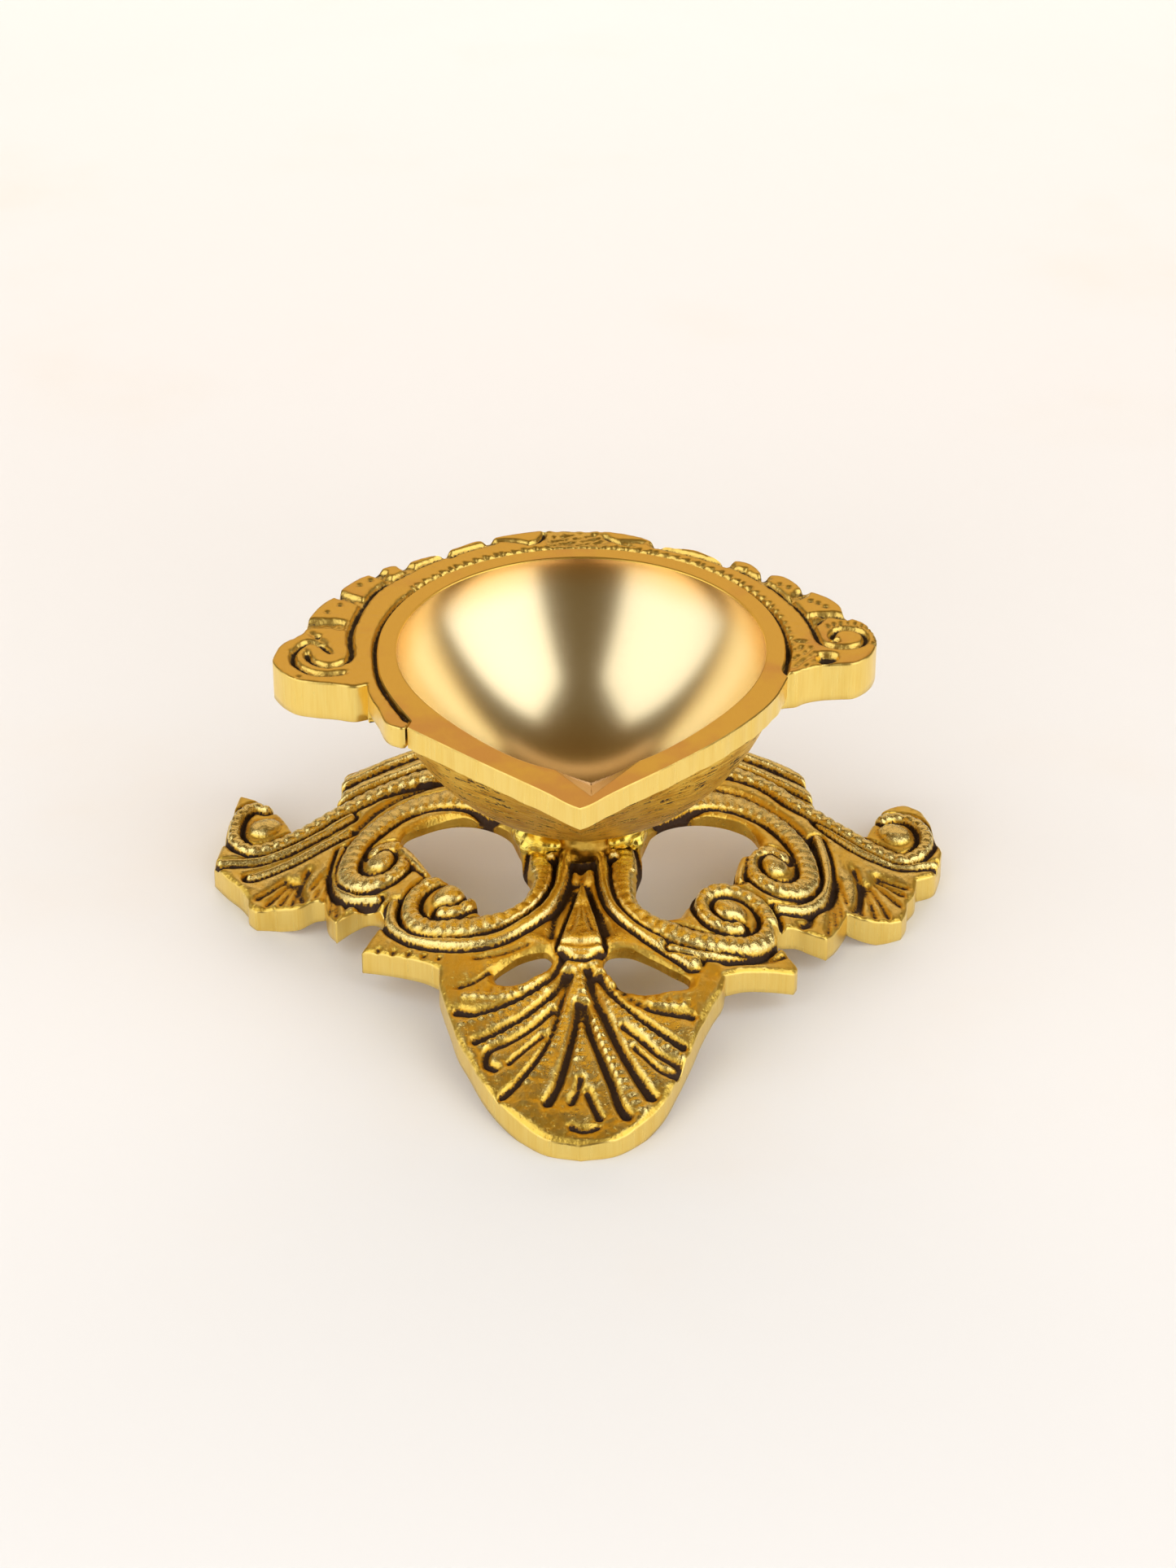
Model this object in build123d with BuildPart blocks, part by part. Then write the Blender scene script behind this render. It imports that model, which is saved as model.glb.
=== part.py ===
from build123d import *
import os
from math import acos, asin, cos, degrees, radians, sin

# A cast brass oil lamp: a pointed oil bowl with an ornamental crest, on a short turned
# neck, on a pierced and domed ornamental stand.  Millimetres, +Z up.
# The origin is on the table, under the middle of the lamp's outer box.
# The round pieces share one upright axis, the neck axis, a little behind that middle.
# Plan coordinates are measured from the neck axis.

# ---- driving dimensions -------------------------------------------------------------
NECK_Y = 12.35  # the neck axis, behind the middle of the outer box
RIM_Z = 43.0  # the flat top of the bowl and crest

# Stand: a casting of even thickness on a surface that is arched across its width
# and bent to a large radius from front to back.
ARCH_TOP = 15.0  # highest point of the arch
FOOT_THICK = 4.4  # thickness at the wing feet, and the height where the arch ends
FOOT_X = 46.0  # where the arch has come down to the feet
BEND_RADIUS = 200.0  # front-to-back bend
BEND_Y = 14.0  # crown of the bend, behind the neck axis
BEND_REACH = 74.0  # how far the bent sheet runs in front of the crown
BEND_SWEEP = 1.5  # the sheet's whole turn, as a share of its turn in front of the crown
WING_X = 52.5  # a little past the wing tips
STAND_CUT = 20.0  # a little above the stand's highest point
ARCH_STEPS = 8  # points on each half of the arch

# Hub, neck and hidden fixing
HUB_RADIUS = 8.6
HUB_TOP = 14.6
HUB_BOTTOM = 9.8
CUP_BOTTOM = 18.2
NECK_RADIUS = 7.4
NECK_WAIST = 6.6
NECK_FOOT = 1.6  # height of the straight foot of the neck
SCREW_RADIUS = 2.0
SCREW_HOLE_RADIUS = 2.2
SCREW_END = 20.2
SCREW_CHAMFER = 0.4
TAP_END = 20.4
HEAD_RADIUS = 3.6
HEAD_HEIGHT = 2.4
SLOT_WIDTH = 0.9
SLOT_DEPTH = 1.1
WASHER_RADIUS = 5.2
WASHER_THICK = 0.8
BEAD_RADIUS = 2.1
BEAD_X = 7.0
BEAD_Y = -3.8
BEAD_RISE = 0.4  # how far a bead's middle is above the hub

# Bowl sections: level, radius of the round back, distance to the pointed front
LIP_TIP = 40.8
CUP_OUTSIDE = [
    (RIM_Z, 27.6, LIP_TIP),
    (37.0, 26.2, 35.5),
    (30.0, 22.3, 27.4),
    (23.5, 15.8, 18.0),
    (CUP_BOTTOM, 8.4, 8.9),
]
CUP_INSIDE = [
    (RIM_Z, 24.8, 33.0),
    (37.0, 22.9, 28.8),
    (30.0, 18.6, 21.6),
    (25.0, 13.3, 14.6),
    (21.5, 6.0, 6.4),
]
CREST_THICK = 5.7
LIP_THICK = 3.2
LIP_RADIUS = 30.4
CREST_TURN = 2.8  # degrees the crest is turned on the bowl, as it was cast
CREST_RX = 37.8
CREST_RY = 32.6
CREST_START = 11.0  # degrees, where the crest's round back meets its scrolls
NOTCH_HALF_WIDTH = 3.2
NOTCH_DEPTH = 2.0
NOTCH_BACK = -31.0
NOTCH_FRONT = -38.6

LAMP = Plane(origin=(0, NECK_Y, 0))
NECK_AXIS = Axis((0, NECK_Y, 0), (0, 0, 1))
NECK_SECTION = Plane(origin=(0, NECK_Y, 0), x_dir=(1, 0, 0), z_dir=(0, -1, 0))


def arch_height(x):
    """Height of the stand's upper surface at x, on the crown of the bend."""
    share = min(abs(x) / FOOT_X, 1.0)
    return FOOT_THICK + (ARCH_TOP - FOOT_THICK) * (1 - share**2) ** 1.5


def teardrop(radius, tip):
    """A flat shape with a round back, and straight sides that meet at the spout."""
    half_angle = degrees(acos(radius / tip))
    with BuildSketch() as shape:
        with BuildLine():
            back = CenterArc((0, 0), radius, half_angle - 90, 360 - 2 * half_angle)
            Polyline(back @ 1, (0, -tip), back @ 0)
        make_face()
    return shape.sketch


def stand_outline():
    """The stand seen from above: one half, from the front tip to the back, mirrored."""
    with BuildSketch() as shape:
        with BuildLine():
            Spline(
                (0, -57.3), (6, -55.6), (10.5, -50.5), (14.3, -42), (17.2, -34), (19, -27),
                tangents=((1, 0), (0.1, 1)),
            )
            Spline((19, -27), (24, -22.8), (29.4, -20.8))
            Spline((29.4, -20.8), (28.4, -17.6), (26.2, -14.8))
            Spline((26.2, -14.8), (29, -11.8), (33.7, -12.8))
            Polyline((33.7, -12.8), (35.6, -7.3), (44.8, -6.2), (45.8, -1), (51.2, 7.4))
            Spline((51.2, 7.4), (50.2, 14), (49.4, 20.5), (47.4, 23), (44, 19.6), (40.6, 12.2))
            Spline((40.6, 12.2), (37, 13.6), (33.6, 16.6))
            Line((33.6, 16.6), (33.2, 24.2))
            Spline((33.2, 24.2), (24, 26.2), (11, 29.4), (0, 30.2), tangents=((-1, 0.15), (-1, 0)))
            Line((0, 30.2), (0, -57.3))
        make_face()
        mirror(about=Plane.YZ)
    return shape.sketch


def stand_openings():
    """The pierced openings: a kidney beside the hub and a petal before it, mirrored."""
    with BuildSketch() as shape:
        with BuildLine():
            Spline(
                (8.6, -2), (8, -11), (10.6, -16.9), (13.6, -16), (17, -9.8), (21, -5.6),
                (24.6, 1), (23, 4.2), (18, 5), (12.4, 3), periodic=True,
            )
        make_face()
        with BuildLine():
            Spline((3.4, -26), (8, -26.2), (13.4, -29.6), tangents=((1, 0.6), (0.3, -1)))
            Spline((13.4, -29.6), (8, -31.4), (3.4, -26), tangents=((-0.6, -0.5), (-0.2, 1)))
        make_face()
        mirror(about=Plane.YZ)
    return shape.sketch


def crest_outline():
    """The crest seen from above: a round back that ends in a scroll on each side."""
    start = radians(CREST_START)
    back_end = (CREST_RX * cos(start), CREST_RY * sin(start))
    with BuildSketch() as shape:
        with BuildLine():
            Line((0, 0), (26.6, -10.4))
            Spline((26.6, -10.4), (30, -7.4), (35.6, -6.6), (39.4, -4), (40.2, 0), back_end)
            EllipticalCenterArc(
                (0, 0), CREST_RX, CREST_RY, start_angle=CREST_START, arc_size=90 - CREST_START,
            )
            Line((0, CREST_RY), (0, 0))
        make_face()
        mirror(about=Plane.YZ)
    return shape.sketch


# ---- stand ---------------------------------------------------------------------------
front_angle = degrees(asin(BEND_REACH / BEND_RADIUS))
bend_axis = Axis((0, NECK_Y + BEND_Y, -BEND_RADIUS), (1, 0, 0))
bend_start = Plane(
    origin=(0, NECK_Y + BEND_Y, -BEND_RADIUS), x_dir=(1, 0, 0), z_dir=(0, -1, 0)
).rotated((front_angle, 0, 0))
arch_xs = [WING_X * i / ARCH_STEPS for i in range(-ARCH_STEPS, ARCH_STEPS + 1)]
upper_points = [(x, BEND_RADIUS + arch_height(x)) for x in arch_xs]
lower_points = [(x, y - FOOT_THICK) for x, y in reversed(upper_points)]

with BuildPart() as stand:
    with BuildSketch(bend_start):
        with BuildLine():
            upper = Spline(*upper_points)
            lower = Spline(*lower_points)
            Line(upper @ 1, lower @ 0)
            Line(lower @ 1, upper @ 0)
        make_face()
    revolve(axis=bend_axis, revolution_arc=-BEND_SWEEP * front_angle)
    with BuildSketch(LAMP):
        add(stand_outline())
        add(stand_openings(), mode=Mode.SUBTRACT)
    extrude(amount=STAND_CUT, mode=Mode.INTERSECT)
    with BuildSketch(LAMP):
        Circle(HUB_RADIUS)
    extrude(amount=STAND_CUT, mode=Mode.SUBTRACT)
    with BuildSketch(LAMP.offset(HUB_BOTTOM)):
        Circle(HUB_RADIUS)
    extrude(amount=HUB_TOP - HUB_BOTTOM)
    with BuildSketch(LAMP.offset(HUB_BOTTOM)):
        Circle(SCREW_HOLE_RADIUS)
    extrude(amount=HUB_TOP - HUB_BOTTOM, mode=Mode.SUBTRACT)

# ---- neck ----------------------------------------------------------------------------
with BuildPart() as neck_collar:
    with BuildSketch(NECK_SECTION):
        with BuildLine():
            foot = Polyline(
                (SCREW_HOLE_RADIUS, CUP_BOTTOM), (SCREW_HOLE_RADIUS, HUB_TOP),
                (NECK_RADIUS, HUB_TOP), (NECK_RADIUS, HUB_TOP + NECK_FOOT),
            )
            waist = ThreePointArc(
                foot @ 1,
                (NECK_WAIST, (HUB_TOP + NECK_FOOT + CUP_BOTTOM) / 2),
                (NECK_RADIUS, CUP_BOTTOM),
            )
            Line(waist @ 1, foot @ 0)
        make_face()
    revolve(axis=NECK_AXIS)

# ---- oil bowl ------------------------------------------------------------------------
with BuildPart() as oil_bowl:
    for level, radius, tip in CUP_OUTSIDE:
        with BuildSketch(LAMP.offset(level)):
            add(teardrop(radius, tip))
    loft()
    with BuildSketch(LAMP.offset(RIM_Z - LIP_THICK)):
        add(teardrop(LIP_RADIUS, LIP_TIP))
    extrude(amount=LIP_THICK)
    with BuildSketch(LAMP.offset(RIM_Z - CREST_THICK)):
        with Locations(Rotation(0, 0, CREST_TURN)):
            add(crest_outline())
    extrude(amount=CREST_THICK)
    for level, radius, tip in CUP_INSIDE:
        with BuildSketch(LAMP.offset(level)):
            add(teardrop(radius, tip))
    loft(mode=Mode.SUBTRACT)
    with BuildSketch(NECK_SECTION.offset(-NOTCH_BACK)):
        with BuildLine():
            Polyline(
                (-NOTCH_HALF_WIDTH, RIM_Z), (0, RIM_Z - NOTCH_DEPTH),
                (NOTCH_HALF_WIDTH, RIM_Z), close=True,
            )
        make_face()
    extrude(amount=NOTCH_BACK - NOTCH_FRONT, mode=Mode.SUBTRACT)
    with BuildSketch(LAMP.offset(CUP_BOTTOM)):
        Circle(SCREW_RADIUS)
    extrude(amount=TAP_END - CUP_BOTTOM, mode=Mode.SUBTRACT)

# ---- hidden fixing -------------------------------------------------------------------
with BuildPart() as washer:
    with BuildSketch(LAMP.offset(HUB_BOTTOM - WASHER_THICK)):
        Circle(WASHER_RADIUS)
        Circle(SCREW_HOLE_RADIUS, mode=Mode.SUBTRACT)
    extrude(amount=WASHER_THICK)

head_top = HUB_BOTTOM - WASHER_THICK
with BuildPart() as fixing_screw:
    with BuildSketch(LAMP.offset(head_top - HEAD_HEIGHT)):
        Circle(HEAD_RADIUS)
    extrude(amount=HEAD_HEIGHT)
    fillet(fixing_screw.edges().group_by(Axis.Z)[0], radius=HEAD_HEIGHT / 2)
    with BuildSketch(LAMP.offset(head_top)):
        Circle(SCREW_RADIUS)
    extrude(amount=SCREW_END - head_top)
    chamfer(fixing_screw.edges().group_by(Axis.Z)[-1], length=SCREW_CHAMFER)
    with BuildSketch(LAMP.offset(head_top - HEAD_HEIGHT)):
        Rectangle(2 * HEAD_RADIUS, SLOT_WIDTH)
    extrude(amount=SLOT_DEPTH, mode=Mode.SUBTRACT)

# ---- braze beads, the left one and its mirror image -------------------------------------
with BuildPart() as braze_bead_left:
    with Locations((-BEAD_X, NECK_Y + BEAD_Y, HUB_TOP + BEAD_RISE)):
        Sphere(BEAD_RADIUS)
    with Locations((0, NECK_Y, HUB_TOP)):
        Cylinder(
            NECK_RADIUS, 2 * BEAD_RADIUS, align=(Align.CENTER, Align.CENTER, Align.CENTER),
            mode=Mode.SUBTRACT,
        )
    split(bisect_by=Plane.XY.offset(HUB_TOP), keep=Keep.TOP)

with BuildPart() as braze_bead_right:
    add(braze_bead_left.part.mirror(Plane.YZ))

# ---- export --------------------------------------------------------------------------
os.makedirs("parts", exist_ok=True)

stand.part.label = "stand"
export_step(stand.part, "parts/stand.step")

neck_collar.part.label = "neck_collar"
export_step(neck_collar.part, "parts/neck_collar.step")

oil_bowl.part.label = "oil_bowl"
export_step(oil_bowl.part, "parts/oil_bowl.step")

washer.part.label = "washer"
export_step(washer.part, "parts/washer.step")

fixing_screw.part.label = "fixing_screw"
export_step(fixing_screw.part, "parts/fixing_screw.step")

braze_bead_left.part.label = "braze_bead_left"
export_step(braze_bead_left.part, "parts/braze_bead_left.step")

braze_bead_right.part.label = "braze_bead_right"
export_step(braze_bead_right.part, "parts/braze_bead_right.step")
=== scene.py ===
"""A cast brass oil lamp: the finish of every piece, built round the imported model."""

import logging
import math
from collections.abc import Callable, Sequence
from dataclasses import dataclass, field
from enum import Enum

import bmesh
import bpy
import numpy as np
from mathutils import Matrix, Vector, kdtree
from mathutils.geometry import delaunay_2d_cdt


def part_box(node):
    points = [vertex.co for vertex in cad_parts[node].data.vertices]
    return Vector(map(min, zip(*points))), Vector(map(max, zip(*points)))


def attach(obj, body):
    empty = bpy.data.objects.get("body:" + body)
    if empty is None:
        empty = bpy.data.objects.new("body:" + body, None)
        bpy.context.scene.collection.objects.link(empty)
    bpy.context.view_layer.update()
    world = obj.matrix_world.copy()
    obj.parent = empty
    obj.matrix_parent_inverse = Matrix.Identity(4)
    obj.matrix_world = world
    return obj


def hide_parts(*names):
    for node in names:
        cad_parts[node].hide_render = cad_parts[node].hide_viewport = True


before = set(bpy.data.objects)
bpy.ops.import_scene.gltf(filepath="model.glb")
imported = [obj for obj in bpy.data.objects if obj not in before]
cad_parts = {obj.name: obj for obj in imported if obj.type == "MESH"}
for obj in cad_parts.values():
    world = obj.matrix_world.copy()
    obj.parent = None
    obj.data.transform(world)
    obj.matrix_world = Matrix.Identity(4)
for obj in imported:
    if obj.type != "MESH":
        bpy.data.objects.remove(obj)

Point = tuple[float, float]
Knots = Sequence[Point]
Triple = tuple[float, float, float]
Colour = Triple
Array = np.ndarray

MM = 0.001
LOG = logging.getLogger("oil_lamp")
SCATTER = (0.618, 0.414)  # steps that spread marks evenly over a panel


# ---- shader helpers -------------------------------------------------------------------


class Num:
    """A number that varies over a surface. Arithmetic on it adds Math nodes."""

    def __init__(self, tree: "Tree", socket: bpy.types.NodeSocket) -> None:
        """Keeps the tree and the socket that carries the number."""
        self.tree = tree
        self.socket = socket

    def _math(self, operation: str, first: object, second: object) -> "Num":
        """Adds one Math node and returns its result."""
        node = self.tree.node("ShaderNodeMath", {"operation": operation}, {0: first, 1: second})
        return Num(self.tree, node.outputs[0])

    def __add__(self, other: object) -> "Num":
        """Sum."""
        return self._math("ADD", self, other)

    __radd__ = __add__

    def __sub__(self, other: object) -> "Num":
        """Difference."""
        return self._math("SUBTRACT", self, other)

    def __rsub__(self, other: object) -> "Num":
        """Difference, the other way round."""
        return self._math("SUBTRACT", other, self)

    def __mul__(self, other: object) -> "Num":
        """Product."""
        return self._math("MULTIPLY", self, other)

    __rmul__ = __mul__

    def between(self, low: float, high: float) -> "Num":
        """Smoothly 0 below low and 1 above high."""
        node = self.tree.node(
            "ShaderNodeMapRange",
            {"interpolation_type": "SMOOTHSTEP"},
            {"Value": self, "From Min": low, "From Max": high},
        )
        return Num(self.tree, node.outputs[0])


class Tree:
    """A material's node tree, with one method that adds any node."""

    def __init__(self, name: str) -> None:
        """Makes a new material that holds a shader and an output."""
        self.material = bpy.data.materials.new(name)
        self.material.use_nodes = True
        self.material.node_tree.nodes.clear()
        self.shader = self.node("ShaderNodeBsdfPrincipled", {}, {})
        self.node("ShaderNodeOutputMaterial", {}, {"Surface": self.shader.outputs[0]})

    def node(self, kind: str, settings: dict, sockets: dict) -> bpy.types.Node:
        """Adds a node.

        Args:
            kind: The node's type.
            settings: Its own settings, such as a Math node's operation.
            sockets: Values or links for its inputs, by name or number.

        Returns:
            The new node.
        """
        node = self.material.node_tree.nodes.new(kind)
        for key, value in settings.items():
            setattr(node, key, value)
        for key, value in sockets.items():
            self.feed(node.inputs[key], value)
        return node

    def feed(self, socket: bpy.types.NodeSocket, value: object) -> None:
        """Links or sets one input."""
        if isinstance(value, Num):
            value = value.socket
        if isinstance(value, bpy.types.NodeSocket):
            self.material.node_tree.links.new(value, socket)
        elif isinstance(value, tuple) and len(value) == 3 and len(socket.default_value) == 4:
            socket.default_value = (*value, 1.0)
        else:
            socket.default_value = value

    def noise(self, scale: float, detail: float = 3.0, stretch: Triple = (1.0, 1.0, 1.0)) -> Num:
        """Noise over the object's own coordinates, from 0 to 1.

        Args:
            scale: Grains per metre.
            detail: Layers of finer noise.
            stretch: How much each axis is sped up.

        Returns:
            The noise.
        """
        place = self.node("ShaderNodeTexCoord", {}, {}).outputs["Object"]
        place = self.node(
            "ShaderNodeVectorMath", {"operation": "MULTIPLY"}, {0: place, 1: stretch}
        ).outputs[0]
        made = self.node(
            "ShaderNodeTexNoise", {}, {"Vector": place, "Scale": scale, "Detail": detail}
        )
        return Num(self, made.outputs[0])

    def drawn(self, name: str) -> Num:
        """A number drawn on the mesh's own points."""
        made = self.node("ShaderNodeAttribute", {"attribute_name": name}, {})
        return Num(self, made.outputs["Fac"])

    def blend(self, share: Num | float, first: object, second: object) -> bpy.types.NodeSocket:
        """A mix of two colours, by share of the second."""
        made = self.node("ShaderNodeMix", {"data_type": "RGBA"}, {0: share, 6: first, 7: second})
        return made.outputs[2]

    def bump(self, height: Num, depth: float, strength: float = 1.0) -> bpy.types.NodeSocket:
        """A normal from a height, depth metres tall."""
        made = self.node(
            "ShaderNodeBump", {}, {"Height": height, "Distance": depth, "Strength": strength}
        )
        return made.outputs[0]

    def finish(self, **sockets: object) -> bpy.types.Material:
        """Sets the shader's inputs, with _ for spaces in their names, and returns the material."""
        for key, value in sockets.items():
            self.feed(self.shader.inputs[key.replace("_", " ")], value)
        return self.material


# ---- finishes -------------------------------------------------------------------------


@dataclass(frozen=True)
class AgedCastingWithPaintedLight:
    """Cast brass with dark patina in its hollows and painted orange-brown shade there too, and on its high
    spots a paler tint that is partly worn polish and partly a painted highlight.
    """

    name: str
    bright: Colour = (0.93, 0.65, 0.12)
    # deep is also the colour of the painted shade in the hollows
    deep: Colour = (0.66, 0.34, 0.02)
    polish_and_painted_highlight: Colour = (0.98, 0.83, 0.37)
    patina: Colour = (0.032, 0.013, 0.004)

    def make(self) -> bpy.types.Material:
        """Builds the material."""
        tree = Tree(self.name)
        grain = tree.noise(2600.0, 4.0)
        cloud = tree.noise(260.0, 3.0)
        hollow = tree.drawn("hollow")
        crest = tree.drawn("crest")
        pits = tree.noise(1500.0, 3.0).between(0.60, 0.72)
        dirt = hollow * 1.2 + (grain - 0.5) * 0.9 + (cloud - 0.5) * 0.5 + pits * (0.26 - crest * 0.2)
        dirt = dirt.between(0.24, 0.62)
        # painted shade: a deeper orange-brown fills the hollows and stays off the crests, on top of a random
        # cloud of tone
        warm = (hollow * 2.0 - crest * 0.5 + (cloud - 0.5) * 1.5).between(0.0, 0.75)
        metal = tree.blend(warm, self.bright, self.deep)
        # painted highlight: the crests take a paler tint, partly worn polish and partly a painted highlight
        metal = tree.blend((crest - dirt).between(0.15, 0.9) * 0.8, metal, self.polish_and_painted_highlight)
        colour = tree.blend(dirt, metal, self.patina)
        rough = 0.37 - crest * 0.12 + (grain - 0.5) * 0.2 + dirt * 0.3
        normal = tree.bump(grain - pits * 0.5, 0.00009, 0.9)
        return tree.finish(
            Base_Color=colour, Roughness=rough, Metallic=1.0 - dirt * 0.72, Normal=normal
        )


@dataclass(frozen=True)
class GroundEdge:
    """Brass ground across its edge: pale, with fine upright lines."""

    name: str
    colour: Colour = (0.95, 0.72, 0.22)
    deep: Colour = (0.86, 0.57, 0.10)
    rough: float = 0.30

    def make(self) -> bpy.types.Material:
        """Builds the material."""
        tree = Tree(self.name)
        lines = tree.noise(4600.0, 3.0, (1.0, 1.0, 0.04))
        broad = tree.noise(700.0, 2.0, (1.0, 1.0, 0.15))
        pits = tree.noise(900.0, 2.0).between(0.74, 0.80)
        shade = ((lines - 0.5) * 0.8 + (broad - 0.5) * 0.9 + 0.4 + pits * 0.6).between(0.0, 1.2)
        colour = tree.blend(shade, self.colour, self.deep)
        rough = self.rough + (lines - 0.5) * 0.16 + pits * 0.3
        normal = tree.bump(lines * 0.5 + broad * 0.4 - pits * 0.8, 0.000032, 0.8)
        return tree.finish(Base_Color=colour, Roughness=rough, Metallic=1.0, Normal=normal)


@dataclass(frozen=True)
class GroundRim:
    """The bowl's flat top, ground to a warm satin, with aged hollows where it is carved and a painted
    reddish shade near the spout.
    """

    name: str
    flat: Colour = (0.92, 0.61, 0.12)
    blush_and_painted_shade: Colour = (0.84, 0.48, 0.13)
    carved: Colour = (0.92, 0.65, 0.16)
    patina: Colour = (0.045, 0.022, 0.006)

    def make(self) -> bpy.types.Material:
        """Builds the material."""
        tree = Tree(self.name)
        grain = tree.noise(3000.0, 3.0)
        cloud = tree.noise(130.0, 3.0)
        fine = tree.noise(5200.0, 2.0, (1.0, 0.25, 1.0))
        hollow = tree.drawn("hollow")
        carved = tree.drawn("carved")
        dirt = (hollow * 1.2 + (grain - 0.5) * 0.7).between(0.30, 0.66)
        # painted shade: the reddish tint is strongest near the spout, on top of a random cloud of tone
        blush_and_painted_shade = cloud + tree.drawn("spout") * 0.22
        metal = tree.blend(blush_and_painted_shade.between(0.50, 0.76), self.flat, self.blush_and_painted_shade)
        metal = tree.blend(carved.between(0.15, 0.75), metal, self.carved)
        colour = tree.blend(dirt, metal, self.patina)
        rough = 0.36 + (fine - 0.5) * 0.14 + dirt * 0.3 - carved * 0.06
        normal = tree.bump(fine * 0.4 + grain * carved, 0.00006, 0.8)
        return tree.finish(
            Base_Color=colour, Roughness=rough, Metallic=1.0 - dirt * 0.65, Normal=normal
        )


@dataclass(frozen=True)
class BrushedBowl:
    """The inside of the cup: pale satin brass with fine arcs from the brush, with painted shade near the
    rim, at the bottom and near the spout.
    """

    name: str
    pale: Colour = (0.95, 0.82, 0.53)
    warm: Colour = (0.92, 0.61, 0.24)
    blush_and_painted_shade: Colour = (0.76, 0.33, 0.16)

    def make(self) -> bpy.types.Material:
        """Builds the material."""
        tree = Tree(self.name)
        level = tree.drawn("level")
        arcs = tree.noise(5200.0, 3.0, (0.25, 0.25, 1.0))
        cloud = tree.noise(60.0, 2.0)
        # painted shade: the inside turns warmer and darker near the rim and towards the bottom, made uneven
        # by a random cloud
        share = level.between(0.70, 1.0) * 0.85 + (1 - level).between(0.70, 0.98) * 0.7
        share = (share + (cloud - 0.5) * 0.5).between(0.0, 1.0)
        colour = tree.blend(share, self.pale, self.warm)
        # painted shade: a reddish tint on the cup's front near the spout, made uneven by a random cloud
        near = (tree.drawn("spout") + (cloud - 0.5) * 0.8).between(0.1, 0.9)
        colour = tree.blend(near * 0.5, colour, self.blush_and_painted_shade)
        rough = 0.25 + (arcs - 0.5) * 0.06
        normal = tree.bump(arcs, 0.000004, 0.5)
        return tree.finish(Base_Color=colour, Roughness=rough, Metallic=1.0, Normal=normal)


@dataclass(frozen=True)
class FiledCasting:
    """The outside of the cup: sand cast, roughly filed along, with dark specks left."""

    name: str
    bright: Colour = (0.97, 0.67, 0.12)
    deep: Colour = (0.66, 0.35, 0.022)
    speck: Colour = (0.035, 0.016, 0.005)

    def make(self) -> bpy.types.Material:
        """Builds the material."""
        tree = Tree(self.name)
        marks = tree.noise(2300.0, 4.0, (0.13, 0.13, 1.0))
        grain = tree.noise(2400.0, 3.0)
        patch = tree.noise(170.0, 3.0)
        cloud = tree.noise(420.0, 3.0)
        specks = ((marks - 0.5) * 1.9 + (grain - 0.5) * 0.9 + patch * 0.7).between(0.55, 0.66)
        streak = tree.noise(3400.0, 3.0, (0.1, 0.1, 1.0))
        colour = tree.blend((streak - 0.5 + cloud * 0.5).between(0.02, 0.36), self.deep, self.bright)
        colour = tree.blend(specks, colour, self.speck)
        rough = 0.36 + specks * 0.3 + (grain - 0.5) * 0.2
        normal = tree.bump(marks + grain * 0.3 - specks * 0.7, 0.00022, 0.9)
        return tree.finish(
            Base_Color=colour, Roughness=rough, Metallic=1.0 - specks * 0.6, Normal=normal
        )


@dataclass(frozen=True)
class PlainBrass:
    """Turned or flowed metal, brass unless told otherwise, with a little tarnish."""

    name: str
    bright: Colour = (0.90, 0.66, 0.18)
    dull: Colour = (0.62, 0.38, 0.06)
    rough: float = 0.26
    depth: float = 0.00003

    def make(self) -> bpy.types.Material:
        """Builds the material."""
        tree = Tree(self.name)
        rings = tree.noise(2600.0, 2.0, (0.2, 0.2, 1.0))
        cloud = tree.noise(420.0, 4.0)
        colour = tree.blend(cloud.between(0.42, 0.68), self.bright, self.dull)
        rough = self.rough + (rings - 0.5) * 0.12 + (cloud - 0.5) * 0.2
        normal = tree.bump(rings + cloud, self.depth, 0.7)
        return tree.finish(Base_Color=colour, Roughness=rough, Metallic=1.0, Normal=normal)


@dataclass(frozen=True)
class PaleFloor:
    """The stone-like table top and the wall round it: warm white with faint stains."""

    name: str
    white: Colour = (0.80, 0.815, 0.83)
    stain: Colour = (0.80, 0.765, 0.72)
    glow: float = 0.0

    def make(self) -> bpy.types.Material:
        """Builds the material."""
        tree = Tree(self.name)
        cloud = tree.noise(14.0, 5.0)
        colour = tree.blend(cloud.between(0.52, 0.80) * 0.6, self.white, self.stain)
        return tree.finish(
            Base_Color=colour,
            Roughness=0.55 + cloud * 0.2,
            Specular_IOR_Level=0.3,
            Emission_Color=colour,
            Emission_Strength=self.glow,
        )


# ---- plan geometry, in millimetres from the neck axis ---------------------------------


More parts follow.
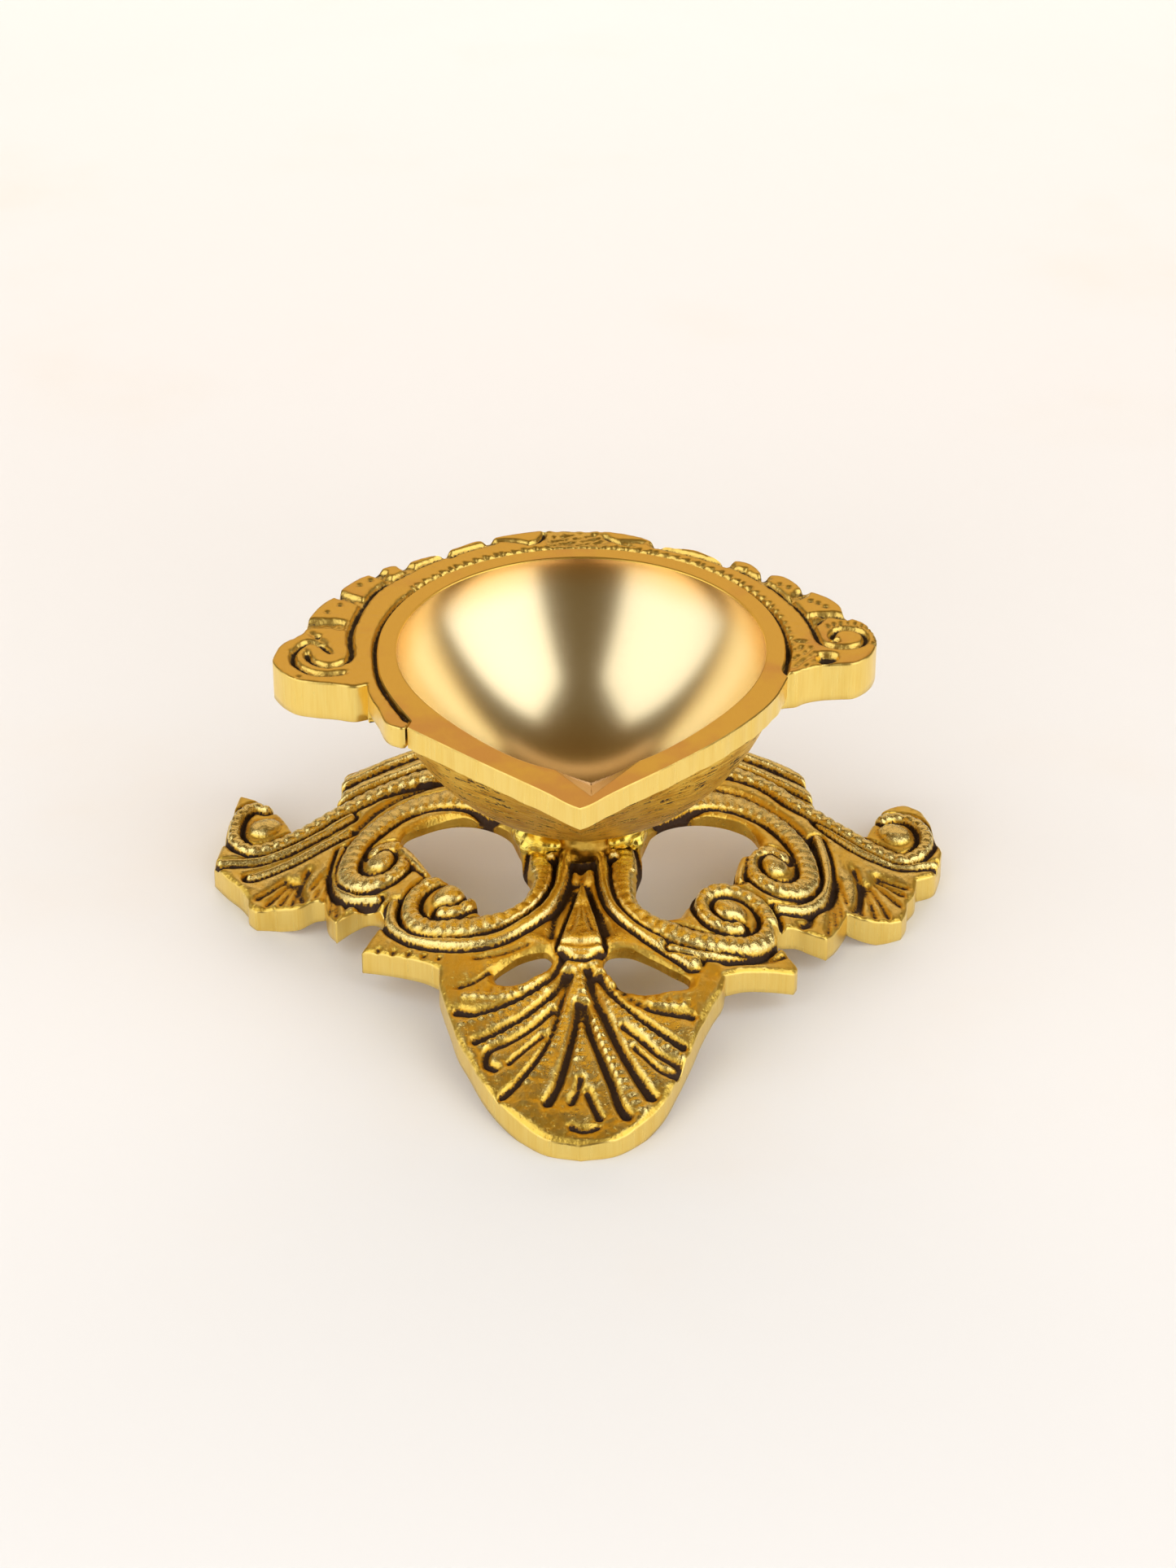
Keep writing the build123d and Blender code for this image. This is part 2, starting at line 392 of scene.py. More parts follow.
def smooth_line(knots: Knots, step: float = 0.3, closed: bool = False) -> Array:
    """A smooth line through plan points.

    Args:
        knots: The points it passes through.
        step: Length between samples.
        closed: Whether it comes back to its first point.

    Returns:
        The samples, one a row.
    """
    points = np.asarray(knots, float)
    if closed:
        ring = np.vstack([points[-1], points, points[:2]])
    else:
        ring = np.vstack([2 * points[0] - points[1], points, 2 * points[-1] - points[-2]])
    made = []
    for before, start, end, after in zip(ring, ring[1:], ring[2:], ring[3:]):
        sizes = [max(np.hypot(*d), 1e-6) for d in (start - before, end - start, after - end)]
        leave = (start - before) / sizes[0] * sizes[1] + (end - start) / sizes[1] * sizes[0]
        reach = (end - start) / sizes[1] * sizes[2] + (after - end) / sizes[2] * sizes[1]
        leave *= sizes[1] / (sizes[0] + sizes[1])
        reach *= sizes[1] / (sizes[1] + sizes[2])
        count = max(1, round(sizes[1] / step))
        t = np.arange(count)[:, None] / count
        made.append(
            (2 * t**3 - 3 * t**2 + 1) * start
            + (t**3 - 2 * t**2 + t) * leave
            + (3 * t**2 - 2 * t**3) * end
            + (t**3 - t**2) * reach
        )
    if not closed:
        made.append(points[-1:])
    return np.vstack(made)


def cornered_loop(stretches: Sequence[Knots], step: float) -> Array:
    """An edge of smooth stretches that meet in corners.

    Args:
        stretches: Their points. Each goes on from the end of the one before.
        step: Length between samples.

    Returns:
        The samples, without the very last point.
    """
    whole = [stretches[0]] + [[last[-1], *knots] for last, knots in zip(stretches, stretches[1:])]
    return np.vstack([smooth_line(knots, step)[:-1] for knots in whole])


def spiral(centre: Point, radii: Point, angles: Point, squash: float = 1.0) -> list[Point]:
    """Points of a spiral that winds in evenly.

    Args:
        centre: Its middle.
        radii: First and last radius.
        angles: First and last angle, in degrees.
        squash: How much taller than wide it is.

    Returns:
        Its points, one each 30 degrees or so.
    """
    count = max(3, round(abs(angles[1] - angles[0]) / 30))
    turns = np.radians(np.linspace(*angles, count + 1))
    reach = np.linspace(*radii, count + 1)
    xs = centre[0] + reach * np.cos(turns)
    ys = centre[1] + reach * np.sin(turns) * squash
    return list(zip(xs.tolist(), ys.tolist()))


class Relief:
    """A height map in plan millimetres, which ornament is raised on and cut into."""

    def __init__(self, low: Point, high: Point, pitch: float, valley: float = 0.0) -> None:
        """Makes a flat map between two corners.

        Args:
            low: The lowest corner.
            high: The highest corner.
            pitch: Distance between the map's points.
            valley: How deep the soft valley round each groove is, as a share of the groove.
        """
        self.valley = valley
        self.low = np.array(low)
        self.pitch = pitch
        xs = np.arange(low[0], high[0] + pitch, pitch)
        ys = np.arange(low[1], high[1] + pitch, pitch)
        self.x, self.y = np.meshgrid(xs, ys)
        self.height = np.zeros_like(self.x)

    def _window(self, low: Array, high: Array) -> tuple[slice, slice]:
        """The rows and columns that cover a box."""
        first = np.floor((low - self.low) / self.pitch).astype(int)
        last = np.ceil((high - self.low) / self.pitch).astype(int) + 1
        rows, cols = self.x.shape
        return (
            slice(max(first[1], 0), min(max(last[1], 0), rows)),
            slice(max(first[0], 0), min(max(last[0], 0), cols)),
        )

    def near(self, line: Array, reach: float) -> tuple[tuple[slice, slice], Array, Array]:
        """Measures the map's points against a line.

        Args:
            line: The line's samples.
            reach: How far away a point still counts.

        Returns:
            The window, each point's distance, and its run along the line.
        """
        box = self._window(line.min(0) - reach, line.max(0) + reach)
        x, y = self.x[box], self.y[box]
        distance = np.full(x.shape, 1e3)
        run = np.zeros(x.shape)
        gone = 0.0
        for start, end in zip(line, line[1:]):
            step = end - start
            size = max(np.hypot(*step), 1e-9)
            part = self._window(np.minimum(start, end) - reach, np.maximum(start, end) + reach)
            inner = tuple(slice(p.start - b.start, p.stop - b.start) for p, b in zip(part, box))
            dx, dy = x[inner] - start[0], y[inner] - start[1]
            share = np.clip((dx * step[0] + dy * step[1]) / size**2, 0, 1)
            gap = np.hypot(dx - share * step[0], dy - share * step[1])
            closer = gap < distance[inner]
            np.copyto(distance[inner], gap, where=closer)
            np.copyto(run[inner], gone + share * size, where=closer)
            gone += size
        return box, distance, run

    def groove(
        self, knots: Knots, width: float = 0.45, depth: float = 0.7, fade: float = 1.2
    ) -> None:
        """Cuts a rounded groove.

        Args:
            knots: Its line.
            width: Half its width.
            depth: How deep it is.
            fade: Length over which each end runs out.
        """
        line = smooth_line(knots)
        total = np.hypot(*np.diff(line, axis=0).T).sum()
        box, distance, run = self.near(line, width * (6.5 if self.valley else 2.6))
        ends = np.clip(np.minimum(run, total - run) / fade + 0.25, 0, 1)
        slot = np.exp(-((distance / width) ** 2.6))
        side = self.valley * np.exp(-((distance / (width * 3)) ** 2))
        self.height[box] -= depth * ends * ((1 - 0.6 * self.valley) * slot + side)

    def band(
        self,
        knots: Knots,
        half: Point,
        rise: float = 0.85,
        pitch: float = 0.0,
        rib: float = 0.0,
        moat: float = 1.1,
    ) -> None:
        """Raises a rounded band with a groove along each side.

        Args:
            knots: Its middle line.
            half: Half its width at its start and end.
            rise: How high its crown is.
            pitch: Length from one cross rib to the next, or 0 for none.
            rib: How deep the notches between ribs are.
            moat: How deep the grooves beside it are.
        """
        line = smooth_line(knots)
        total = np.hypot(*np.diff(line, axis=0).T).sum()
        box, distance, run = self.near(line, max(half) + 1.6)
        width = half[0] + (half[1] - half[0]) * run / total
        share = distance / width
        crown = rise * np.sqrt(np.clip(1 - share**2, 0, 1))
        if pitch:
            beat = np.abs(np.sin(np.pi * run / pitch)) ** 0.55
            crown -= rib * (1 - beat) * np.clip(1.15 - share**3, 0, 1)
        there = self.height[box]
        beside = np.exp(-(((distance - width - 0.12) / 0.42) ** 2))
        trench = there - moat * np.where(distance > width, beside, 0)
        self.height[box] = np.where(share < 1, np.maximum(crown, -0.15) - 0.25, trench)

    def round_edge(self, loop: Array, radius: float, waver: float = 0.35) -> None:
        """Rounds the surface over along an edge, unevenly as wear does.

        Args:
            loop: The edge's closed loop.
            radius: How far in and down the rounding reaches.
            waver: How much that varies, as a share of it.
        """
        box, distance, _ = self.near(np.vstack([loop, loop[:1]]), radius * (1 + waver) + 0.3)
        lumps = self._lumps(3.2, len(loop))[box]
        reach = radius * np.clip(1 + waver * lumps * 0.6, 0.4, 1 + waver)
        share = np.clip(1 - distance / reach, 0, 1)
        self.height[box] -= reach * (1 - np.sqrt(np.clip(1 - share**2, 0, 1)))

    def dome(self, centre: Point, radii: Point, rise: float) -> None:
        """Raises a rounded boss, or sinks a round hollow if rise is under 0."""
        low, high = np.subtract(centre, radii), np.add(centre, radii)
        box = self._window(low, high)
        gap = np.hypot((self.x[box] - centre[0]) / radii[0], (self.y[box] - centre[1]) / radii[1])
        bump = rise * np.sqrt(np.clip(1 - gap**2, 0, 1))
        self.height[box] = np.where(gap < 1, self.height[box] + bump, self.height[box])

    def level(self, outline: Knots, height: float, soft: float = 0.5) -> None:
        """Brings an area to one height, with a soft edge."""
        line = smooth_line(outline, 0.4, closed=True)
        line = np.vstack([line, line[:1]])
        box, distance, _ = self.near(line, soft)
        inside = inside_loops(self.x[box], self.y[box], [line[:-1]])
        signed = np.where(inside, np.minimum(distance, soft), -np.minimum(distance, soft))
        share = np.clip(0.5 + signed / (2 * soft), 0, 1)
        self.height[box] = self.height[box] * (1 - share) + height * share

    def roughen(self, size: float, amount: float, seed: int) -> None:
        """Adds cast lumps of one size."""
        self.height += amount * self._lumps(size, seed)

    def _lumps(self, size: float, seed: int) -> Array:
        """Smooth seeded noise, with a spread of 1."""
        raw = np.random.default_rng(seed).standard_normal(self.x.shape)
        made = self.blurred(raw, size / 2)
        return made / made.std()

    def blurred(self, values: Array, reach: float) -> Array:
        """The values spread out by a bell of the given reach in millimetres."""
        rows, cols = values.shape
        down = np.fft.fftfreq(rows, self.pitch)[:, None]
        across = np.fft.rfftfreq(cols, self.pitch)[None, :]
        bell = np.exp(-2 * (math.pi * reach) ** 2 * (down**2 + across**2))
        return np.fft.irfft2(np.fft.rfft2(values) * bell, s=values.shape)

    def hollows(self, heights: Array, *bells: Point) -> Array:
        """Measures how far each of the map's points lies below its surroundings.

        Args:
            heights: The heights to measure.
            bells: The reach of each bell of surroundings, and the depth that counts as full.

        Returns:
            The deepest share over all the bells, from 0 to 1.
        """
        depths = [(self.blurred(heights, reach) - heights) / full for reach, full in bells]
        return np.clip(np.max(depths, axis=0), 0, 1)

    def row(self, first: Point, gap: Point, count: int, radii: Point, depth: float) -> None:
        """Sinks a straight row of small hollows.

        Args:
            first: The middle of the first one.
            gap: The step from one to the next.
            count: How many there are.
            radii: Their half width and half length.
            depth: How deep they are.
        """
        for step in range(count):
            self.dome((first[0] + gap[0] * step, first[1] + gap[1] * step), radii, -depth)

    def read(self, values: Array, points: Array) -> Array:
        """Values of a map at plan points, between its own points."""
        place = (points - self.low) / self.pitch
        rows, cols = values.shape
        col = np.clip(place[:, 0], 0, cols - 1.001)
        row = np.clip(place[:, 1], 0, rows - 1.001)
        c, r = col.astype(int), row.astype(int)
        u, v = col - c, row - r
        return (
            values[r, c] * (1 - u) * (1 - v)
            + values[r, c + 1] * u * (1 - v)
            + values[r + 1, c] * (1 - u) * v
            + values[r + 1, c + 1] * u * v
        )


def inside_loops(x: Array, y: Array, loops: Sequence[Array]) -> Array:
    """Whether each point of a row-by-row grid lies inside closed loops, holes left out.

    Args:
        x: The points' x, with each row of the grid in one line of y.
        y: The points' y.
        loops: Closed outlines.

    Returns:
        True where a point is inside.
    """
    starts = np.vstack(loops)
    ends = np.vstack([np.roll(loop, -1, axis=0) for loop in loops])
    inside = np.zeros(x.shape, bool)
    for row in range(x.shape[0]):
        level = y[row, 0]
        crosses = (starts[:, 1] <= level) != (ends[:, 1] <= level)
        if not crosses.any():
            continue
        a, b = starts[crosses], ends[crosses]
        cuts = np.sort(a[:, 0] + (level - a[:, 1]) / (b[:, 1] - a[:, 1]) * (b[:, 0] - a[:, 0]))
        inside[row] = np.searchsorted(cuts, x[row]) % 2 == 1
    return inside


def oriented(loop: Array, outer: bool) -> Array:
    """A loop run with the metal on its left."""
    ahead = np.roll(loop, -1, axis=0)
    area = (loop[:, 0] * ahead[:, 1] - loop[:, 1] * ahead[:, 0]).sum()
    return loop if (area > 0) == outer else loop[::-1]


def outward(loop: Array) -> Array:
    """The unit direction out of the metal at each point of an oriented loop."""
    along = np.roll(loop, -1, axis=0) - np.roll(loop, 1, axis=0)
    along /= np.maximum(np.hypot(*along.T), 1e-9)[:, None]
    return np.column_stack([along[:, 1], -along[:, 0]])


class Face(Enum):
    """The kinds of surface on a casting, in the order of its material slots."""

    TOP = 0
    WALL = 1
    UNDER = 2


def placed(name: str, data: bpy.types.ID) -> bpy.types.Object:
    """Puts a mesh, light or camera into the scene."""
    made = bpy.data.objects.new(name, data)
    bpy.context.scene.collection.objects.link(made)
    return made


def neck_axis() -> Vector:
    """The neck's axis at table level, from the frame, in metres."""
    low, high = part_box("neck_collar")
    return Vector(((low.x + high.x) / 2, (low.y + high.y) / 2, 0.0))


def add_piece(
    name: str, mesh: bpy.types.Mesh, materials: Sequence[bpy.types.Material], node: str
) -> bpy.types.Object:
    """Puts a mesh on the neck's axis, as one piece that stands for a part of the model.

    Args:
        name: The piece's name.
        mesh: Its mesh.
        materials: One for each material slot.
        node: The part that it stands for.

    Returns:
        The new object.
    """
    for material in materials:
        mesh.materials.append(material)
    mesh.validate()
    piece = placed(name, mesh)
    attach(piece, "root")
    piece.location = neck_axis()
    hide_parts(node)
    LOG.info("%s: %d faces", name, len(mesh.polygons))
    return piece


def joined(first: int, second: int, count: int) -> Array:
    """Quads that join two closed rings of points, given by the number of each one's first point."""
    here, ahead = np.arange(count), (np.arange(count) + 1) % count
    return np.column_stack([first + here, second + here, second + ahead, first + ahead])


def smooth_mesh(name: str, points: Array, faces: list[list[int]]) -> bpy.types.Mesh:
    """A smoothly shaded mesh in metres, from points in millimetres."""
    mesh = bpy.data.meshes.new(name)
    mesh.from_pydata((points * MM).tolist(), [], faces)
    mesh.polygons.foreach_set("use_smooth", np.ones(len(faces), bool))
    return mesh


def draw_on(mesh: bpy.types.Mesh, name: str, values: Array) -> None:
    """Writes one number on each of a mesh's points."""
    layer = mesh.attributes.new(name, "FLOAT", "POINT")
    layer.data.foreach_set("value", np.asarray(values, np.float32))


@dataclass
class CastPlate:
    """A closed casting made from its plan: carved top, ground walls and plain underside."""

    loops: list[Array]
    top: Callable[[Array], Array]
    under: Callable[[Array], Array]
    cell: float = 0.3
    under_cell: float = 1.0
    bevel: float = 0.14
    wall_rings: int = 5
    upper_shares: Point = (0.0, 0.06)
    clearance: float = 0.62
    plan: Array = field(init=False)
    cast_wall: Array = field(init=False)

    def _fill(self, rims: list[Array], cell: float) -> tuple[Array, Array]:
        """Triangles between the rims, on a honeycomb of points.

        Args:
            rims: The loops that bound the face.
            cell: Size of the honeycomb.

        Returns:
            The points, the rims' own first, and the triangles.
        """
        edge = np.vstack(rims)
        low, high = edge.min(0), edge.max(0)
        xs = np.arange(low[0], high[0], cell)
        ys = np.arange(low[1], high[1], cell * math.sqrt(3) / 2)
        x, y = np.meshgrid(xs, ys)
        x[1::2] += cell / 2
        inside = inside_loops(x, y, rims)
        tree = kdtree.KDTree(len(edge))
        for number, point in enumerate(edge):
            tree.insert((*point, 0.0), number)
        tree.balance()
        grid = [
            point
            for point in zip(x[inside], y[inside])
            if tree.find((*point, 0.0))[2] > self.clearance * cell
        ]
        points = [Vector(p) for p in edge] + [Vector(p) for p in grid]
        links, base = [], 0
        for rim in rims:
            count = len(rim)
            links += [(base + i, base + (i + 1) % count) for i in range(count)]
            base += count
        made, _, faces, _, _, _ = delaunay_2d_cdt(points, links, [], 1, 1e-7)
        if len(made) != len(points):
            raise ValueError("an outline crosses itself")
        plan = np.array([tuple(p) for p in made])
        faces = np.array([f for f in faces if len(f) == 3])
        ring_only = (faces < len(edge)).all(axis=1)
        middle = plan[faces[ring_only]].mean(axis=1)
        keep = np.ones(len(faces), bool)
        keep[ring_only] = [inside_loops(m[None, :1], m[None, 1:], rims)[0, 0] for m in middle]
        faces = faces[keep]
        a, b, c = (plan[faces[:, i]] for i in range(3))
        turn = (b[:, 0] - a[:, 0]) * (c[:, 1] - a[:, 1]) - (b[:, 1] - a[:, 1]) * (c[:, 0] - a[:, 0])
        faces[turn < 0] = faces[turn < 0][:, ::-1]
        return plan, faces

    def build(self, name: str) -> bpy.types.Mesh:
        """Makes the mesh, in metres, round the neck axis.

        Args:
            name: The mesh's name.

        Returns:
            The mesh, with its material slots set by kind of surface.
        """
        walls = [oriented(loop, number == 0) for number, loop in enumerate(self.loops)]
        rims = [wall - outward(wall) * self.bevel for wall in walls]
        upper, upper_faces = self._fill(rims, self.cell)
        lower, lower_faces = self._fill(rims, self.under_cell)
        count = sum(len(rim) for rim in rims)
        wall = np.vstack(walls)
        rim_top, rim_under = self.top(upper[:count]), self.under(lower[:count])
        first, last = rim_top - self.bevel, rim_under + self.bevel
        shares = np.concatenate([self.upper_shares, np.linspace(0.12, 1, self.wall_rings)])
        rings = [np.column_stack([wall, first + (last - first) * share]) for share in shares]
        points = np.vstack(
            [np.column_stack([upper, self.top(upper)])]
            + rings
            + [np.column_stack([lower, self.under(lower)])]
        )
        starts = [0] + [len(upper) + i * count for i in range(len(rings) + 1)]
        quads = []
        for high, below in zip(starts, starts[1:]):
            base = 0
            for rim in rims:
                quads.append(joined(high + base, below + base, len(rim)))
                base += len(rim)
        quads = np.vstack(quads)
        under = lower_faces[:, ::-1] + starts[-1]
        outer = np.tile(np.arange(count) < len(rims[0]), len(starts) - 1)
        self.cast_wall = np.zeros(len(points), bool)
        for start in starts[1:-1]:
            self.cast_wall[start + len(rims[0]) : start + count] = True
        faces = upper_faces.tolist() + quads.tolist() + under.tolist()
        mesh = smooth_mesh(name, points, faces)
        kinds = np.concatenate(
            [
                np.full(len(upper_faces), Face.TOP.value),
                np.where(outer, Face.WALL.value, Face.TOP.value),
                np.full(len(under), Face.UNDER.value),
            ]
        )
        mesh.polygons.foreach_set("material_index", kinds.astype(np.int32))
        self.plan = points[:, :2]
        return mesh


# ---- sub-assemblies -------------------------------------------------------------------


@dataclass
class Stand:
    """The pierced, domed stand: palmette foot, stems, C-scrolls, wings and back band."""

    arch_top: float = 15.0
    foot_thick: float = 4.4
    foot_x: float = 46.0
    bend_radius: float = 200.0
    bend_y: float = 14.0
    middle_thick: float = 3.8
    pad_level: float = 9.8
    pitch: float = 0.125
    thin_reach: float = 3.0
    thin_lift: float = 1.6
    edge_least: float = 0.8
    outer_round: float = 0.75
    inner_round: float = 1.5
    # patina and painted shade added on the cast walls of the openings
    wall_dirt_and_shade: float = 0.15
    foot_from: float = 30.0
    foot_over: float = 14.0
    pad_reach: float = 9.4
    pad_soft: float = 1.6
    tick_first: float = 0.6
    tick_pitch: float = 1.3
    tick_radii: Point = (0.715, 0.55)
    tick_rise: float = 0.3
    relief: Relief = field(init=False)
    ornament: Array = field(init=False)
    thinning: Array = field(init=False)

    def surface(self, plan: Array) -> Array:
        """Height of the plain upper surface at plan points."""
        share = np.clip(np.abs(plan[:, 0]) / self.foot_x, 0, 1)
        arch = self.foot_thick + (self.arch_top - self.foot_thick) * (1 - share**2) ** 1.5
        reach = self.bend_radius + arch
        return np.sqrt(reach**2 - (plan[:, 1] - self.bend_y) ** 2) - self.bend_radius

    def top(self, plan: Array) -> Array:
        """Height of the carved upper surface at plan points."""
        return self.surface(plan) + self.relief.read(self.relief.height, plan)

    def under(self, plan: Array) -> Array:
        """Height of the underside at plan points, ground flat at the feet."""
        share = np.clip((np.abs(plan[:, 0]) - self.foot_from) / self.foot_over, 0, 1)
        thick = self.middle_thick + (self.foot_thick - self.middle_thick) * share
        thick = thick - self.relief.read(self.thinning, plan)
        plain = np.maximum(self.surface(plan) - thick, 0.0)
        pad = np.clip((self.pad_reach - np.hypot(*plan.T)) / self.pad_soft, 0, 1)
        return plain * (1 - pad) + np.minimum(plain, self.pad_level) * pad

    @staticmethod
    def outline() -> list[Knots]:
        """The outer edge, from the front tip round to the right, in stretches with corners between."""
        return [
            [(0, -57.3), (4.5, -56.3), (8, -53.4), (10.6, -50), (12.6, -45.6), (14.4, -41),
             (15.8, -36.8), (17.3, -33), (18.9, -29.3), (19.2, -27.2)],
            [(21.8, -25.6), (25, -24.5), (28.6, -23.6)],
            [(29.1, -22.3), (28.3, -20.8), (26.6, -18), (25.8, -15.4)],
            [(27.5, -15.2), (29.2, -14.5), (31, -14.7), (33.4, -14.9)],
            [(34.6, -13), (35.7, -10.6), (36.6, -8.2)],
            [(39, -8.5), (42, -8), (44.2, -7)],
            [(45, -5), (45.3, -2.6)],
            [(46.4, -0.6), (46.9, 2.4)],
            [(49.4, 3.8), (50.3, 6.3), (50.9, 9)],
            [(50.4, 13), (49.6, 17.5), (48.3, 20.6), (46.2, 21.8), (44.2, 20.6),
             (42.4, 17.4), (41.2, 14.2), (40.4, 11.4)],
            [(37.6, 11.9), (35.2, 13.3), (33.2, 15)],
            [(32.7, 18), (32.2, 20.6), (31.8, 22.8)],
            [(30.3, 24.1), (26.5, 24.9), (22, 25.8), (12, 28.6), (0, 29.8),
             (-12, 28.8), (-22, 26.9), (-27, 26.3), (-34.2, 25.2)],
            [(-34.5, 21.5), (-34.4, 18.2)],
            [(-36.5, 15.8), (-39, 14.2), (-41.2, 13.2)],
            [(-42.5, 16.4), (-44.2, 19.8), (-46.5, 22.6), (-49.4, 24.3)],
            [(-50, 20), (-50.6, 14), (-51.3, 9), (-51.8, 6.3)],
            [(-49.8, 3.2), (-47.6, 0.4), (-46.5, -1.5)],
            [(-46.2, -3.4), (-45.2, -4.7)],
            [(-42, -5), (-39, -5.8), (-36.8, -5.2), (-35.4, -5.6)],
            [(-34.8, -9), (-33.6, -11.3)],
            [(-31.5, -10.2), (-29, -9.8), (-27.2, -11.5), (-26.9, -14.2)],
            [(-28.2, -16.4), (-29.7, -19)],
            [(-27.2, -20.4), (-24, -22.3), (-21, -24.3), (-18.9, -26.2)],
            [(-18.9, -28.6), (-18.2, -31.8), (-17.3, -35), (-16.2, -39),
             (-14.6, -42.6), (-12.6, -47), (-10.3, -50.6), (-7.6, -53.6), (-4.6, -56.1),
             (0, -57.3)],
        ]

    @staticmethod
    def openings() -> list[Knots]:
        """The pierced openings: a kidney on each side of the hub, and two petals."""
        return [
            [(8.2, -3.5), (8.3, -8), (7.4, -12.5), (7.8, -16), (10, -17.6), (13, -17),
             (14.3, -14.5), (15.4, -11.8), (17.6, -9.6), (20.3, -8.4), (21.1, -6), (22, -2.6),
             (24.4, 0.6), (24.8, 2.6), (23.5, 5.3), (21, 6.2), (17.5, 6), (14, 4.7),
             (11.3, 2.8), (9.2, -0.2)],
            [(-8.3, -4.5), (-7.9, -8.5), (-6.7, -12.2), (-8.3, -15.6), (-10.8, -17.3),
             (-13.4, -16.8), (-14.3, -14.4), (-15.9, -11.6), (-18, -9.1), (-20.6, -6.1),
             (-22.3, -2.4), (-24.2, 0.8), (-25.2, 2.8), (-24.6, 4.8), (-22, 5.7),
             (-18.5, 5.9), (-15.5, 5), (-12.5, 3), (-10, 0.2)],
            [(2.9, -27), (3.6, -25.2), (6, -24.6), (9, -25.6), (12, -27.2), (14.4, -28.7),
             (14.2, -30), (11.8, -31.2), (8.8, -32), (6, -31.6), (4, -29.7)],
            [(-3.8, -26.2), (-4.6, -24.9), (-7, -25.1), (-9.6, -26.4), (-11.6, -28.4),
             (-11, -30), (-8.8, -30.5), (-6.4, -29.2), (-4.6, -27.8)],
        ]

    def loops(self) -> list[Array]:
        """The outer edge and the openings as sampled loops."""
        edge = cornered_loop(self.outline(), 0.3)
        return [edge] + [smooth_line(knots, 0.3, closed=True) for knots in self.openings()]

    def _palmette(self) -> None:
        """Cuts the fan of the front foot and the bud above it."""
        cut = self.relief.groove
        fan = [
            ([(4.4, -30.4), (6.4, -33), (9.5, -34.9), (15.2, -35.4)], 0.5, 0.75),
            ([(2, -28.8), (4, -32.2), (6.6, -35.4), (10, -38.5), (13.8, -41.2)], 0.5, 0.85),
            ([(5, -37.6), (7.6, -40), (10, -42.4), (12.8, -44.6), (11.6, -45.7)], 0.4, 0.7),
            ([(6.6, -41), (8.6, -43.2), (10.4, -45), (12.2, -45.5)], 0.35, 0.6),
            ([(0.7, -27.6), (1.6, -32), (3.4, -37.4), (5.4, -42.4), (7.4, -46.4), (9.5, -49.9)],
             0.6, 1.0),
            ([(0.2, -33.6), (0.9, -38), (2.4, -43), (4, -47.6), (5.2, -51.4), (6.3, -53.1)],
             0.52, 0.95),
            ([(-0.3, -33.4), (-0.7, -38), (-1.7, -43), (-3, -48), (-4.6, -51.4)], 0.48, 0.9),
            ([(-1.2, -28.4), (-2.6, -34), (-3.6, -39), (-5.2, -43), (-7.6, -46.6), (-10.6, -49.7)],
             0.4, 0.7),
            ([(-3.4, -35), (-6, -38), (-9.4, -40.4), (-12.2, -41.8), (-12.2, -43.8), (-10.6, -45)],
             0.42, 0.75),
            ([(-4.6, -39.4), (-7.2, -42), (-9.8, -44.4)], 0.35, 0.55),
            ([(-1.9, -28.4), (-3.8, -32.6), (-6.6, -35.6), (-10.2, -38), (-14.4, -39.9)], 0.48, 0.85),
            ([(-2.2, -25.9), (-4, -29.4), (-7, -32.4), (-10.8, -34.4), (-14, -34.9), (-17, -33.8)],
             0.5, 0.85),
            ([(0.1, -46.4), (-0.5, -48.8), (-1.5, -51.3)], 0.4, 0.7),
            ([(0.6, -48.3), (1.5, -50.8), (2.6, -53.6)], 0.45, 0.8),
            ([(-1.7, -54.4), (0.5, -55), (2.7, -54.1)], 0.32, 0.6),
        ]
        for knots, width, depth in fan:
            cut(knots, 1.2 * width, 1.35 * depth, 0.7)
        ridges = [
            [(2.6, -28), (5.4, -32), (8.4, -34.2), (13.6, -33.6)],
            [(3.4, -33.4), (6.6, -37), (10.6, -40.6), (13.6, -42.8)],
            [(1.6, -36.6), (3.6, -43), (6, -48), (8, -51.6)],
            [(0.2, -29), (0, -38), (-0.4, -45)],
            [(-2.4, -36), (-4.2, -42.6), (-7.8, -48.2)],
            [(-4.2, -34), (-8, -37.6), (-13.6, -41)],
            [(-4.6, -31.4), (-8.6, -34.4), (-15.6, -36.6)],
            [(-6, -30.8), (-10, -32.6), (-16, -31.6)],
        ]
        for knots in ridges:
            self._beading(knots)
        self.relief.band([(0.1, -14), (0.1, -19), (0, -23.8)], (0.5, 2.9), 0.9, moat=1.2)
        for lean in (-0.9, 0.9):
            cut([(lean * 0.35, -16.4), (lean * 0.9, -19.6), (lean * 1.9, -22.8)], 0.4, 0.55)
        self.relief.band([(-2.8, -24.9), (0, -25.5), (2.7, -24.9)], (0.45, 0.45), 0.35, moat=0.55)

    def _beading(self, knots: Knots) -> None:
        """Raises a row of small cross ticks along a line."""
        line = smooth_line(knots, 0.2)
        runs = np.concatenate([[0], np.cumsum(np.hypot(*np.diff(line, axis=0).T))])
        for place in np.arange(self.tick_first, runs[-1], self.tick_pitch):
            x, y = (float(np.interp(place, runs, line[:, axis])) for axis in (0, 1))
            self.relief.dome((x, y), self.tick_radii, self.tick_rise)

